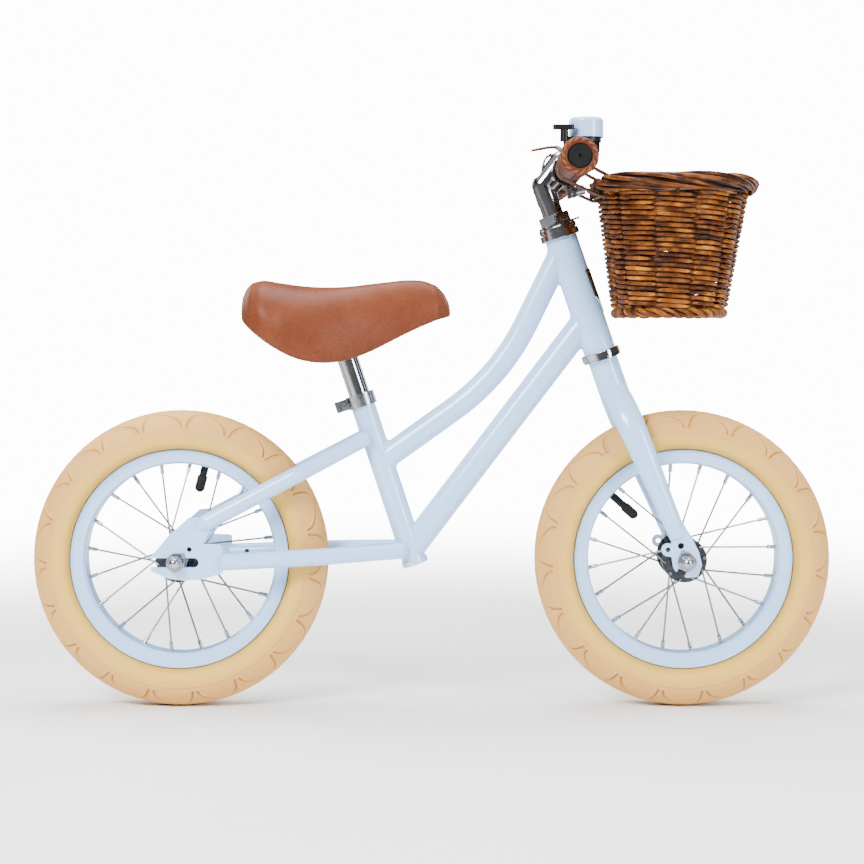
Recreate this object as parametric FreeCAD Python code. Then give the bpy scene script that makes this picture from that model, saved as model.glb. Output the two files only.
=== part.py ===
"""Child's balance bike: steel frame, spoked wheels, threaded headset, quill stem, bell and basket.

Millimetres. +X is forward, +Z is up, and the centre plane is Y = 0, so the rider's right
side is -Y. The origin is on the ground, midway between the two axles.
"""
import FreeCAD, Part
import math
import os

V = FreeCAD.Vector

# ---- driving dimensions --------------------------------------------------------------
WHEEL_R = 155.0
HALF_WHEELBASE = 263.2
HEAD_TILT = 19.0
HEAD_TOP = V(136.3, 0, 491.0)
HEAD_LENGTH = 126.0
HEAD_OD = 34.0
HEAD_ID = 30.2
TUBE_WALL = 1.6
SEAT_TUBE_TOP = V(-75.4, 0, 325.0)
SEAT_TUBE_BOTTOM = V(-16.8, 0, 147.9)
SEAT_TUBE_OD = 25.4
SEAT_POST_OD = 22.2
DOWN_TUBE_OD = 28.0
TOP_TUBE_OD = 25.4
QUILL_OD = 22.2
STEERER_OD = 25.4
STEERER_ID = 22.3
BAR_CENTRE = V(141.6, 0, 560.5)
BAR_OD = 22.2
BAR_HALF = 200.0
FRONT_DROPOUT_IN = 42.0
REAR_DROPOUT_IN = 46.0
PLATE_T = 4.0
AXLE_R = 4.75

# ---- wheel dimensions, along a local Z that becomes -Y -------------------------------
RIM_INNER_R = 99.2
RIM_FLOOR_R = 101.0
RIM_LIP_R = 114.2
RIM_HALF_W = 16.2
TYRE_HALF_W = 28.0
TYRE_MID_R = 127.0
FLANGE_Z = 25.0
FLANGE_T = 3.5
FLANGE_R = 23.3
SPOKE_HOLE_R = 20.5
SPOKE_R = 1.0
NIPPLE_R = 2.0
SPOKES_PER_SIDE = 10
VALVE_R = 4.0
CAP_R = 5.2
CAP_LENGTH = 17.5
BALL_R = 2.38
HUB_BALL_CIRCLE = 9.7
HUB_BALL_Z = 23.5

FRONT_AXLE = V(HALF_WHEELBASE, 0, WHEEL_R)
REAR_AXLE = V(-HALF_WHEELBASE, 0, WHEEL_R)
STEER_UP = V(-math.sin(math.radians(HEAD_TILT)), 0, math.cos(math.radians(HEAD_TILT)))
SEAT_UP = (SEAT_TUBE_TOP - SEAT_TUBE_BOTTOM).normalize()
SIDES = (-1, 1)

os.makedirs("parts", exist_ok=True)


# ---- helpers -------------------------------------------------------------------------
def export(name, shape):
    shape.exportStep(f"parts/{name}.step")


def group(solids):
    return Part.makeCompound(list(solids))


def rod(start, end, radius, end_radius=None):
    """A solid cylinder, or a cone when end_radius is given, between two points."""
    axis = end - start
    if end_radius is None or abs(end_radius - radius) < 1e-6:
        return Part.makeCylinder(radius, axis.Length, start, axis)
    return Part.makeCone(radius, end_radius, axis.Length, start, axis)


def pipe(start, end, outer_r, inner_r):
    return rod(start, end, outer_r).cut(rod(start, end, inner_r))


def open_path(points):
    """Edges through (radius, z) points; a four-number item is an arc: its middle, then its end."""
    edges = []
    here = V(points[0][0], 0, points[0][1])
    for item in points[1:]:
        end = V(item[-2], 0, item[-1])
        if len(item) == 4:
            edges.append(Part.Arc(here, V(item[0], 0, item[1]), end).toShape())
        else:
            edges.append(Part.LineSegment(here, end).toShape())
        here = end
    return edges


def revolved(points):
    """A solid turned about Z from a closed (radius, z) outline."""
    face = Part.Face(Part.Wire(open_path(points + [points[0]])))
    return face.revolve(V(0, 0, 0), V(0, 0, 1), 360)


def ring(inner_r, outer_r, low, high):
    outer = Part.makeCylinder(outer_r, high - low, V(0, 0, low))
    return outer.cut(Part.makeCylinder(inner_r, high - low, V(0, 0, low)))


def hexagon(across_flats, low, high):
    corner = across_flats / math.sqrt(3)
    points = [V(corner * math.cos(math.radians(60 * i)), corner * math.sin(math.radians(60 * i)), low)
              for i in range(7)]
    return Part.Face(Part.makePolygon(points)).extrude(V(0, 0, high - low))


def placed(shape, base, rotation):
    moved = shape.copy()
    moved.Placement = FreeCAD.Placement(base, rotation)
    return moved


def on_steering_axis(shape):
    """Local Z runs up the steering axis from the head tube's top."""
    return placed(shape, HEAD_TOP, FreeCAD.Rotation(V(0, 1, 0), -HEAD_TILT))


def on_wheel(shape, axle):
    """Local Z runs along the axle towards the bike's right side."""
    return placed(shape, axle, FreeCAD.Rotation(V(1, 0, 0), 90))


def mirrored(shape):
    return shape.mirror(V(0, 0, 0), V(0, 1, 0))


def plate(outline, low_y, high_y):
    """A flat plate from (x, z) corner points, between two Y values."""
    points = [V(x, low_y, z) for x, z in outline]
    face = Part.Face(Part.makePolygon(points + [points[0]]))
    return face.extrude(V(0, high_y - low_y, 0))


def disc_y(x, z, radius, low_y, high_y):
    return Part.makeCylinder(radius, high_y - low_y, V(x, low_y, z), V(0, 1, 0))


def smooth_tube(stations, shrink=0.0):
    """A loft through round or oval sections: (centre, in-plane radius, sideways radius)."""
    wires = []
    for i, (centre, radius, side_radius) in enumerate(stations):
        before = stations[max(i - 1, 0)][0]
        after = stations[min(i + 1, len(stations) - 1)][0]
        along = (after - before).normalize()
        side = V(0, 1, 0)
        across = along.cross(side).normalize()
        lateral = across.cross(along).normalize()
        major = max(radius, side_radius) - shrink
        minor = min(radius, side_radius) - shrink
        first = across if radius >= side_radius else lateral
        if major - minor < 0.01:
            curve = Part.Circle(centre, along, major).toShape()
        else:
            second = along.cross(first).normalize()
            curve = Part.Ellipse(centre + first * major, centre + second * minor, centre).toShape()
        wires.append(Part.Wire([curve]))
    return Part.makeLoft(wires, True, False)


# ---- frame tubes ---------------------------------------------------------------------
def head_tube():
    """A plain tube with the two headset seats."""
    return on_steering_axis(ring(HEAD_ID / 2, HEAD_OD / 2, -HEAD_LENGTH, 0))


def head_envelope():
    return on_steering_axis(Part.makeCylinder(HEAD_OD / 2, HEAD_LENGTH + 60, V(0, 0, -HEAD_LENGTH - 30)))


def seat_envelope():
    return rod(SEAT_TUBE_BOTTOM - SEAT_UP * 20, SEAT_TUBE_TOP + SEAT_UP * 20, SEAT_TUBE_OD / 2)


def seat_tube():
    """Seat tube with a slightly flared, open lower end and a rear pinch slot at the top."""
    flare = 5.0
    tube = pipe(SEAT_TUBE_BOTTOM, SEAT_TUBE_TOP, SEAT_TUBE_OD / 2, SEAT_POST_OD / 2 + 0.05)
    lip = pipe(SEAT_TUBE_BOTTOM, SEAT_TUBE_BOTTOM + SEAT_UP * flare, SEAT_TUBE_OD / 2 + 1.0,
               SEAT_POST_OD / 2 + 0.05)
    slot = Part.makeBox(14, 2.0, 32, V(-14, -1.0, -32))
    tilt = math.degrees(math.atan2(-SEAT_UP.x, SEAT_UP.z))
    slot = placed(slot, SEAT_TUBE_TOP, FreeCAD.Rotation(V(0, 1, 0), -tilt))
    return tube.fuse(lip).cut(slot).removeSplitter()


def swept_tube(points, bend_radius, outer_r, inner_r):
    """A hollow tube along a three-point path whose corner is a tangent arc."""
    start, corner, end = points
    into = (corner - start).normalize()
    out = (end - corner).normalize()
    turn = into.getAngle(out)
    cut_back = bend_radius * math.tan(turn / 2)
    a = corner - into * cut_back
    b = corner + out * cut_back
    inward = (out - into).normalize()
    centre = corner + inward * (bend_radius / math.cos(turn / 2))
    mid = centre - inward * bend_radius
    path = Part.Wire([Part.LineSegment(start, a).toShape(), Part.Arc(a, mid, b).toShape(),
                      Part.LineSegment(b, end).toShape()])
    shells = []
    for radius in (outer_r, inner_r):
        section = Part.Wire([Part.Circle(start, into, radius).toShape()])
        shells.append(path.makePipeShell([section], True, False))
    return shells[0].cut(shells[1])


def top_tube():
    """One bend: shallow from the seat tube, steep up to the head tube."""
    points = (V(-66.0, 0, 247.0), V(72.8, 0, 346.2), V(146.0, 0, 496.0))
    tube = swept_tube(points, 243.0, TOP_TUBE_OD / 2, TOP_TUBE_OD / 2 - TUBE_WALL)
    return tube.cut(head_envelope()).cut(seat_envelope()).Solids[0]


def down_tube_axis():
    return V(-22.0, 0, 163.7), V(164.7, 0, 407.9)


def down_tube():
    low, high = down_tube_axis()
    tube = pipe(low, high, DOWN_TUBE_OD / 2, DOWN_TUBE_OD / 2 - TUBE_WALL)
    tube = tube.cut(head_envelope()).cut(seat_envelope())
    return max(tube.Solids, key=lambda solid: solid.Volume)


def down_envelope():
    low, high = down_tube_axis()
    return rod(low, high, DOWN_TUBE_OD / 2)


STAY_R = 8.75
REAR_PLATE_MID = REAR_DROPOUT_IN + PLATE_T / 2


def stay(path, side, taper=0.0):
    """A stay from the dropout to the seat tube's side: two straight runs, its rear end cut square or tapered."""
    points = [V(x, side * y, z) for x, y, z in path]
    solid = rod(points[0], points[1], STAY_R)
    solid = solid.fuse(Part.makeSphere(STAY_R, points[1]))
    solid = solid.fuse(rod(points[1], points[2], STAY_R))
    solid = solid.fuse(Part.makeSphere(STAY_R, points[2]))
    if taper > 0:
        along = (points[1] - points[0]).normalize()
        solid = solid.fuse(rod(points[0] - along * taper, points[0], STAY_R * 0.6, STAY_R))
    bore = rod(points[0], points[1], STAY_R - TUBE_WALL)
    bore = bore.fuse(Part.makeSphere(STAY_R - TUBE_WALL, points[1]))
    bore = bore.fuse(rod(points[1], points[2], STAY_R - TUBE_WALL))
    return solid.cut(bore)


def seat_stays():
    path = ((-232.0, REAR_PLATE_MID, 196.0), (-140.0, 40.5, 244.2), (-71.0, 15.5, 280.3))
    stays = []
    for side in SIDES:
        shape = stay(path, side, 8.0).cut(seat_envelope()).cut(rear_plate(side))
        stays.append(max(shape.Solids, key=lambda solid: solid.Volume))
    return group(stays)


def chain_stays():
    path = ((-216.0, REAR_PLATE_MID, 155.3), (-118.0, 40.5, 159.6), (-33.0, 14.5, 163.5))
    stays = []
    for side in SIDES:
        shape = stay(path, side).cut(seat_envelope()).cut(rear_plate(side)).cut(down_envelope())
        body = max(shape.Solids, key=lambda solid: solid.Volume)
        if side > 0:
            body = body.cut(disc_y(-198.0, 157.0, 2.5, 30.0, 47.0))
        stays.append(body)
    return group(stays)


def rear_plate(side):
    """Track-type dropout: its axle slot opens to the rear."""
    outline = [(-288.5, 161.0), (-270.5, 182.5), (-250.0, 201.0), (-228.0, 203.0), (-226.0, 192.0),
               (-234.6, 174.3), (-217.0, 173.8), (-215.0, 171.8), (-215.0, 144.0), (-234.6, 138.2),
               (-253.0, 136.5), (-270.0, 138.5), (-288.5, 146.5)]
    low = side * REAR_DROPOUT_IN
    high = side * (REAR_DROPOUT_IN + PLATE_T)
    low, high = min(low, high), max(low, high)
    solid = plate(outline, low, high)
    slot_end = REAR_AXLE.x + 19.0
    slot = Part.makeBox(60, 20, 2 * AXLE_R + 0.2, V(slot_end - 60, low - 8, WHEEL_R - AXLE_R - 0.1))
    slot = slot.fuse(disc_y(slot_end, WHEEL_R, AXLE_R + 0.1, low - 8, high + 8))
    tab_hole = disc_y(-249.0, 168.6, 2.6, low - 1, high + 1)
    return solid.cut(slot).cut(tab_hole)


def rear_dropouts():
    return group(rear_plate(side) for side in SIDES)


def head_badge():
    """Thin shield wrapped on the head tube's front."""
    half_width = 12.0
    top, waist, tip = -40.0, -70.0, -88.0
    shell = ring(HEAD_OD / 2, HEAD_OD / 2 + 1.0, tip - 2, top + 2)
    tall = Part.Face(Part.makePolygon([V(0, -half_width, top), V(0, half_width, top), V(0, 11, waist),
                                       V(0, 0, tip), V(0, -11, waist), V(0, -half_width, top)]))
    return on_steering_axis(shell.common(tall.extrude(V(30, 0, 0))))


# ---- headset -------------------------------------------------------------------------
CUP_R = 20.8
CUP_BALL_CIRCLE = 16.4
SKIRT_IN_R = 13.6
POCKET_R = 18.95
RACE_BOSS_R = 13.9
LOW = -HEAD_LENGTH


def upper_headset_cup():
    return on_steering_axis(revolved([
        (SKIRT_IN_R, -9), (HEAD_ID / 2, -9), (HEAD_ID / 2, 0), (CUP_R - 0.8, 0), (CUP_R, 0.8),
        (CUP_R, 7), (POCKET_R, 7), (POCKET_R, 2), (SKIRT_IN_R, 2)]))


def lower_headset_cup():
    return on_steering_axis(revolved([
        (SKIRT_IN_R, LOW + 9), (SKIRT_IN_R, LOW - 2.5), (POCKET_R, LOW - 2.5), (POCKET_R, LOW - 6.9),
        (CUP_R, LOW - 6.9), (CUP_R, LOW - 0.8), (CUP_R - 0.8, LOW), (HEAD_ID / 2, LOW),
        (HEAD_ID / 2, LOW + 9)]))


def ball_ring(count, circle_r, z, radius):
    balls = []
    for i in range(count):
        angle = 2 * math.pi * i / count
        balls.append(Part.makeSphere(radius, V(circle_r * math.cos(angle), circle_r * math.sin(angle), z)))
    return balls


def headset_balls():
    balls = ball_ring(16, CUP_BALL_CIRCLE, 4.5, BALL_R) + ball_ring(16, CUP_BALL_CIRCLE, LOW - 5.0, BALL_R)
    return group(on_steering_axis(ball) for ball in balls)


def crown_race():
    return on_steering_axis(revolved([
        (STEERER_OD / 2, LOW - 9), (CUP_R - 0.6, LOW - 9), (CUP_R - 0.6, LOW - 7.45),
        (RACE_BOSS_R, LOW - 7.45), (RACE_BOSS_R, LOW - 3.4), (STEERER_OD / 2, LOW - 3.4)]))


def adjusting_race():
    return on_steering_axis(revolved([
        (STEERER_OD / 2, 3.4), (RACE_BOSS_R, 3.4), (RACE_BOSS_R, 6.95), (18.4, 6.95), (18.4, 8.0),
        (20.0, 8.0), (20.0, 12.2), (18.6, 13.6), (STEERER_OD / 2, 13.6)]))


def headset_washer():
    """Keyed washer with a tongue to the front."""
    washer = ring(STEERER_OD / 2, 19.2, 13.6, 15.4)
    tongue = Part.makeBox(10, 11, 1.8, V(15, -5.5, 13.6))
    return on_steering_axis(washer.fuse(tongue).removeSplitter())


def headset_locknut():
    nut = hexagon(32.0, 15.4, 25.6)
    nut.rotate(V(0, 0, 0), V(0, 0, 1), 27)
    bevel = revolved([(0, 15.4), (16.6, 15.4), (18.6, 17.0), (18.6, 24.0), (16.6, 25.6), (0, 25.6)])
    return on_steering_axis(nut.common(bevel).cut(Part.makeCylinder(STEERER_OD / 2, 30, V(0, 0, 5))))


# ---- fork ----------------------------------------------------------------------------
CROWN_TOP = LOW - 9
CROWN_R = 15.65
CROWN_LENGTH = 46.0


def steerer_tube():
    return on_steering_axis(ring(STEERER_ID / 2, STEERER_OD / 2, CROWN_TOP - 30, 25.0))


def leg_stations():
    """Centre line and radii of the right leg, from inside the crown to the dropout."""
    return [(V(191.0, -8.0, 331.0), 14.9, 8.5), (V(197.8, -22.0, 316.0), 15.0, 10.0),
            (V(205.5, -35.0, 298.0), 14.6, 10.4), (V(215.5, -41.5, 274.0), 13.4, 10.2),
            (V(228.0, -43.2, 244.0), 11.9, 9.8), (V(240.0, -44.0, 215.5), 10.3, 9.2),
            (V(250.2, -44.0, 191.0), 9.4, 7.8), (V(254.6, -44.0, 180.5), 8.8, 4.4)]


def fork_legs():
    """Crown tube welded to two tapered, oval legs that spread round the tyre."""
    leg = smooth_tube(leg_stations())
    bore = smooth_tube(leg_stations()[:-1], TUBE_WALL)
    crown = on_steering_axis(Part.makeCylinder(CROWN_R, CROWN_LENGTH, V(0, 0, CROWN_TOP - CROWN_LENGTH)))
    crown = crown.fuse(on_steering_axis(Part.makeSphere(CROWN_R, V(0, 0, CROWN_TOP - CROWN_LENGTH))))
    seat = on_steering_axis(Part.makeCylinder(STEERER_OD / 2, CROWN_LENGTH, V(0, 0, CROWN_TOP - 30)))
    solid = crown.fuse([leg, mirrored(leg)])
    solid = solid.cut([seat, bore, mirrored(bore)])
    for side in SIDES:
        solid = solid.cut(fork_plate(side))
    return max(solid.Solids, key=lambda piece: piece.Volume)


EYELET = (243.7, 167.7)
SAFETY_HOLE = (257.0, 171.8)


def fork_plate(side):
    """Fork end: axle slot open downwards, mudguard eyelet behind, safety-washer hole above."""
    low = side * FRONT_DROPOUT_IN
    high = side * (FRONT_DROPOUT_IN + PLATE_T)
    low, high = min(low, high), max(low, high)
    x, z = FRONT_AXLE.x, FRONT_AXLE.z
    outline = [(247.0, 174.0), (249.0, 198.0), (258.0, 198.0), (268.5, 180.0), (275.6, 165.0),
               (278.6, 152.0), (274.5, 140.0), (263.0, 139.0), (252.0, 145.0), (249.0, 149.5),
               (247.5, 160.0), (243.0, 161.6)]
    solid = plate(outline, low, high)
    solid = solid.fuse(disc_y(EYELET[0], EYELET[1], 6.7, low, high))
    slot = Part.makeBox(2 * AXLE_R + 0.2, 20, 40, V(-AXLE_R - 0.1, low - 8, -40))
    slot = placed(slot, V(x, 0, z), FreeCAD.Rotation(V(0, 1, 0), 28))
    slot = slot.fuse(disc_y(x, z, AXLE_R + 0.1, low - 8, high + 8))
    holes = [disc_y(EYELET[0], EYELET[1], 2.6, low - 1, high + 1),
             disc_y(SAFETY_HOLE[0], SAFETY_HOLE[1], 3.3, low - 1, high + 1)]
    return solid.cut([slot] + holes).removeSplitter()


def fork_dropouts():
    return group(fork_plate(side) for side in SIDES)


# ---- wheels --------------------------------------------------------------------------
def symmetric_ring(half_path):
    """Turn a section about Z: an open half path, from z = 0 to z = 0, and its mirror image."""
    edges = open_path(half_path)
    edges += [edge.mirror(V(0, 0, 0), V(0, 0, 1)) for edge in edges]
    face = Part.Face(Part.Wire(Part.__sortEdges__(edges)))
    return face.revolve(V(0, 0, 0), V(0, 0, 1), 360)


def cavity(inset):
    """Half path round the space inside the tyre, shrunk by an inset."""
    return [(104.4 + inset, 0), (104.4 + inset, 10.6 - inset), (113.2, 11.2 - inset),
            (117.5, 19.4 - inset, TYRE_MID_R, 23.9 - inset),
            (143.0 - 0.7 * inset, 17.0 - 0.7 * inset, 148.8 - inset, 0)]


def tyre():
    """Carcass with thick tread and hooked beads."""
    return symmetric_ring([
        (149.3, 0), (143.4, 17.4, TYRE_MID_R, 24.4), (117.1, 20.0, 113.0, 11.6), (103.4, 11.0),
        (103.4, 13.6), (112.4, 14.4), (114.9, 15.6), (118.4, 23.6, TYRE_MID_R, TYRE_HALF_W),
        (146.8, 19.8, WHEEL_R, 0)])


def valve_axis(angle):
    return V(math.cos(math.radians(angle)), math.sin(math.radians(angle)), 0)


def inner_tube(valve_angle, valve_tip):
    """Hollow ring of thin rubber with its valve stem through the rim."""
    axis = valve_axis(valve_angle)
    body = symmetric_ring(cavity(0.0))
    stem = rod(axis * 108.0, axis * (valve_tip + CAP_LENGTH - 4.0), VALVE_R)
    air = symmetric_ring(cavity(1.1))
    return body.fuse(stem).cut(air).removeSplitter()


def valve_cap(valve_angle, valve_tip):
    axis = valve_axis(valve_angle)
    dome = axis * (valve_tip + CAP_R)
    cap = rod(axis * (valve_tip + CAP_LENGTH), dome, CAP_R)
    cap = cap.fuse(Part.makeSphere(CAP_R, dome))
    socket = rod(axis * (valve_tip + CAP_LENGTH + 1), axis * (valve_tip + CAP_LENGTH - 4.0), VALVE_R)
    return cap.cut(socket).removeSplitter()


def spoke_lines(first_angle):
    """Each spoke's hub hole, bend, rim end and side; neighbours on a flange cross once."""
    lines = []
    step = 360.0 / SPOKES_PER_SIDE
    offset = FLANGE_T / 2 + SPOKE_R + 0.1
    for side in (1, -1):
        start = first_angle if side > 0 else first_angle + step / 2
        for j in range(SPOKES_PER_SIDE):
            rim_angle = start + step * j
            lead = 1 if j % 2 == 0 else -1
            hub = valve_axis(rim_angle + lead * step) * SPOKE_HOLE_R
            slack = 1.0 if lead > 0 else 0.0
            bend = hub + V(0, 0, side * (FLANGE_Z + lead * (offset + slack)))
            head = hub + V(0, 0, side * (FLANGE_Z - lead * (offset + 0.1)))
            rim = valve_axis(rim_angle) * RIM_FLOOR_R + V(0, 0, side * 2.0)
            lines.append((head, bend, rim))
    return lines


def spokes(first_angle):
    solids = []
    for head, bend, rim in spoke_lines(first_angle):
        along = (rim - bend).normalize()
        shaft = rod(bend, rim - along * 2.0, SPOKE_R)
        neck = rod(head, bend, SPOKE_R)
        button = rod(head, head + (head - bend).normalize() * 1.0, 1.9)
        knee = Part.makeSphere(SPOKE_R, bend)
        solids.append(shaft.fuse([neck, button, knee]).removeSplitter())
    return group(solids)


def nipples(first_angle):
    solids = []
    for _, bend, rim in spoke_lines(first_angle):
        along = (rim - bend).normalize()
        body = rod(rim - along * 11.5, rim + along * 1.0, NIPPLE_R)
        head = rod(rim + along * 1.0, rim + along * 2.2, NIPPLE_R + 0.8)
        bore = rod(rim - along * 12.0, rim - along * 2.0, SPOKE_R)
        solids.append(body.fuse(head).cut(bore).removeSplitter())
    return group(solids)


def rim(first_angle, valve_angle):
    """Channel rim with curled lips, drilled for nipples and valve."""
    solid = symmetric_ring([
        (RIM_INNER_R, 0), (RIM_INNER_R, 11.2), (101.3, 14.7), (112.0, RIM_HALF_W),
        (113.2, 17.4, RIM_LIP_R, RIM_HALF_W), (113.6, 15.2), (112.6, 14.9), (103.2, 14.1),
        (RIM_FLOOR_R, 11.0), (RIM_FLOOR_R, 0)])
    tools = []
    for _, bend, end in spoke_lines(first_angle):
        along = (end - bend).normalize()
        tools.append(rod(end - along * 6, end + along * 6, NIPPLE_R + 0.1))
    axis = valve_axis(valve_angle)
    tools.append(rod(axis * 106.0, axis * 92.0, VALVE_R + 0.15))
    return solid.cut(tools)


def hub(first_angle):
    """Turned shell with two drilled flanges and a ball pocket in each end."""
    inner = FLANGE_Z - FLANGE_T / 2
    outer = FLANGE_Z + FLANGE_T / 2
    end = 28.4
    solid = revolved([(7.2, -end), (14.6, -end), (15.2, -outer), (FLANGE_R, -outer), (FLANGE_R, -inner),
                      (14.4, -inner), (11.0, -14), (11.0, 14), (14.4, inner), (FLANGE_R, inner),
                      (FLANGE_R, outer), (15.2, outer), (14.6, end), (7.2, end)])
    pocket = 12.2
    tools = [Part.makeCylinder(pocket, 10, V(0, 0, HUB_BALL_Z - BALL_R - 0.07)),
             Part.makeCylinder(pocket, 10, V(0, 0, -HUB_BALL_Z + BALL_R + 0.07 - 10))]
    for head, bend, _ in spoke_lines(first_angle):
        tools.append(rod(head + (head - bend), bend + (bend - head), SPOKE_R + 0.25))
    return solid.cut(tools)


def hub_balls():
    return group(ball_ring(9, HUB_BALL_CIRCLE, HUB_BALL_Z, BALL_R)
                 + ball_ring(9, HUB_BALL_CIRCLE, -HUB_BALL_Z, BALL_R))


def axle(dropout_in):
    half = dropout_in + PLATE_T + 10.0
    return Part.makeCylinder(AXLE_R, 2 * half, V(0, 0, -half))


def both_ends(shape):
    return group([shape, shape.mirror(V(0, 0, 0), V(0, 0, 1))])


def cones(dropout_in):
    """Ball cone with its locknut and spacer, out to the dropout."""
    return both_ends(revolved([
        (AXLE_R, 21.5), (7.25, 21.5), (7.25, 24.75), (10.4, 27.2), (10.4, 31.0), (8.4, 31.6),
        (8.4, dropout_in), (AXLE_R, dropout_in)]))


WASHER_T = 1.6


def tab_washers(dropout_in, lobe_angle):
    """Pear-shaped safety washer; its narrow end points at the dropout's small hole."""
    low = dropout_in + PLATE_T
    body = Part.makeCylinder(9.6, WASHER_T, V(0, 0, low))
    reach = 10.5
    tip_r = 2.8
    lean = math.acos((9.6 - tip_r) / reach)
    a = [V(9.6 * math.cos(s * lean), 9.6 * math.sin(s * lean), low) for s in (-1, 1)]
    b = [V(reach + tip_r * math.cos(s * lean), tip_r * math.sin(s * lean), low) for s in (1, -1)]
    wedge = Part.Face(Part.makePolygon([a[0], a[1], b[0], b[1], a[0]])).extrude(V(0, 0, WASHER_T))
    tip = Part.makeCylinder(tip_r, WASHER_T, V(reach, 0, low))
    shape = body.fuse([wedge, tip]).cut(Part.makeCylinder(AXLE_R, WASHER_T, V(0, 0, low)))
    shape = shape.removeSplitter()
    shape.rotate(V(0, 0, 0), V(0, 0, 1), lobe_angle)
    return both_ends(shape)


def axle_nuts(dropout_in):
    """Domed nuts."""
    low = dropout_in + PLATE_T + WASHER_T
    height = 6.8
    dome_r = 6.6
    body = hexagon(15.0, low, low + height)
    bevel = revolved([(0, low), (8.7, low), (8.7, low + height - 1.2), (7.2, low + height), (0, low + height)])
    dome = Part.makeSphere(dome_r, V(0, 0, low + height - 0.6))
    solid = body.common(bevel).fuse(dome)
    above = Part.makeCylinder(20, 30, V(0, 0, low))
    solid = solid.common(above).cut(Part.makeCylinder(AXLE_R, 10.0 - WASHER_T, V(0, 0, low)))
    return both_ends(solid.removeSplitter())


# ---- stem, bar and what is on them ---------------------------------------------------
QUILL_LOW = -66.0
STEM_SHOULDER = 38.0
STEM_KNEE = 58.8
STEM_BODY_R = 11.8
STEM_ARM = V(math.cos(math.radians(52)), 0, math.sin(math.radians(52)))
STEM_ARM_LENGTH = 31.0
CLAMP_R = 16.0
CLAMP_HALF = 19.0


def on_axis(height):
    return HEAD_TOP + STEER_UP * height


def stem():
    """Quill, steep arm passing over the bar, and split bar clamp in one forging."""
    knee = on_axis(STEM_KNEE)
    arm_end = knee + STEM_ARM * STEM_ARM_LENGTH
    solid = rod(on_axis(QUILL_LOW), on_axis(STEM_SHOULDER), QUILL_OD / 2)
    solid = solid.fuse(rod(on_axis(STEM_SHOULDER), knee, STEM_BODY_R))
    solid = solid.fuse(Part.makeSphere(STEM_BODY_R, knee))
    solid = solid.fuse(rod(knee, arm_end, STEM_BODY_R))
    solid = solid.fuse(Part.makeSphere(STEM_BODY_R, arm_end))
    solid = solid.fuse(rod(on_axis(STEM_KNEE - 7), BAR_CENTRE, STEM_BODY_R - 2.0))
    solid = solid.fuse(disc_y(BAR_CENTRE.x, BAR_CENTRE.z, CLAMP_R, -CLAMP_HALF, CLAMP_HALF))
    ears = Part.makeBox(9.0, 22.0, 16.0, V(-4.5, -11.0, -28.0))
    ears = placed(ears, BAR_CENTRE, FreeCAD.Rotation(V(0, 1, 0), -14))
    solid = solid.fuse(ears)
    bar_hole = disc_y(BAR_CENTRE.x, BAR_CENTRE.z, BAR_OD / 2, -CLAMP_HALF - 1, CLAMP_HALF + 1)
    split = Part.makeBox(1.6, 2 * CLAMP_HALF + 4, 32.0, V(-0.8, -CLAMP_HALF - 2, -32.0))
    split = placed(split, BAR_CENTRE, FreeCAD.Rotation(V(0, 1, 0), -14))
    bore = rod(on_axis(QUILL_LOW - 1), on_axis(STEM_KNEE + 20), 4.4)
    counterbore = rod(on_axis(STEM_KNEE + 3), on_axis(STEM_KNEE + 20), 7.0)
    cross = rod(clamp_bolt_point(-8), clamp_bolt_point(20), 3.15)
    wedge_cut = Part.makeBox(60, 60, 60, V(-30, -30, -60))
    wedge_cut = placed(wedge_cut, on_axis(QUILL_LOW), FreeCAD.Rotation(V(0, 1, 0), -HEAD_TILT + 30))
    return solid.cut([bar_hole, split, bore, counterbore, cross, wedge_cut]).removeSplitter()


def clamp_bolt_point(distance):
    """A point along the clamp bolt, from its head behind the split towards the front."""
    tilt = math.radians(14)
    centre = BAR_CENTRE + V(math.sin(tilt), 0, -math.cos(tilt)) * 22.5
    along = V(math.cos(tilt), 0, math.sin(tilt))
    return centre + along * distance


def stem_bolts():
    """Expander bolt down the quill, and the clamp's cross bolt."""
    expander = rod(on_axis(QUILL_LOW - 16), on_axis(STEM_KNEE + 3), 4.0)
    expander = expander.fuse(rod(on_axis(STEM_KNEE + 3), on_axis(STEM_KNEE + 9.5), 6.6))
    socket = on_steering_axis(hexagon(6.0, STEM_KNEE + 5.5, STEM_KNEE + 10.5))
    clamp = rod(clamp_bolt_point(-4.5), clamp_bolt_point(9.5), 3.0)
    clamp = clamp.fuse(rod(clamp_bolt_point(4.5), clamp_bolt_point(14.5), 5.2))
    return group([expander.cut(socket).removeSplitter(), clamp.removeSplitter()])


def stem_wedge():
    """Slanted expander nut that the bolt pulls against the quill's cut end."""
    nut = rod(on_axis(QUILL_LOW - 24), on_axis(QUILL_LOW + 12), QUILL_OD / 2)
    keep = Part.makeBox(60, 60, 60, V(-30, -30, -60.3))
    keep = placed(keep, on_axis(QUILL_LOW), FreeCAD.Rotation(V(0, 1, 0), -HEAD_TILT + 30))
    nut = nut.common(keep).cut(rod(on_axis(QUILL_LOW - 16), on_axis(QUILL_LOW + 12), 4.0))
    return max(nut.Solids, key=lambda solid: solid.Volume)


def bar_piece(low_y, high_y, outer_r, inner_r=0.0):
    solid = disc_y(BAR_CENTRE.x, BAR_CENTRE.z, outer_r, low_y, high_y)
    if inner_r > 0:
        solid = solid.cut(disc_y(BAR_CENTRE.x, BAR_CENTRE.z, inner_r, low_y - 1, high_y + 1))
    return solid


def handlebar():
    return bar_piece(-BAR_HALF + 3, BAR_HALF - 3, BAR_OD / 2, BAR_OD / 2 - 1.6)


GRIP_LENGTH = 92.0
GRIP_R = 16.2
GRIP_END_R = 18.2


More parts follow.
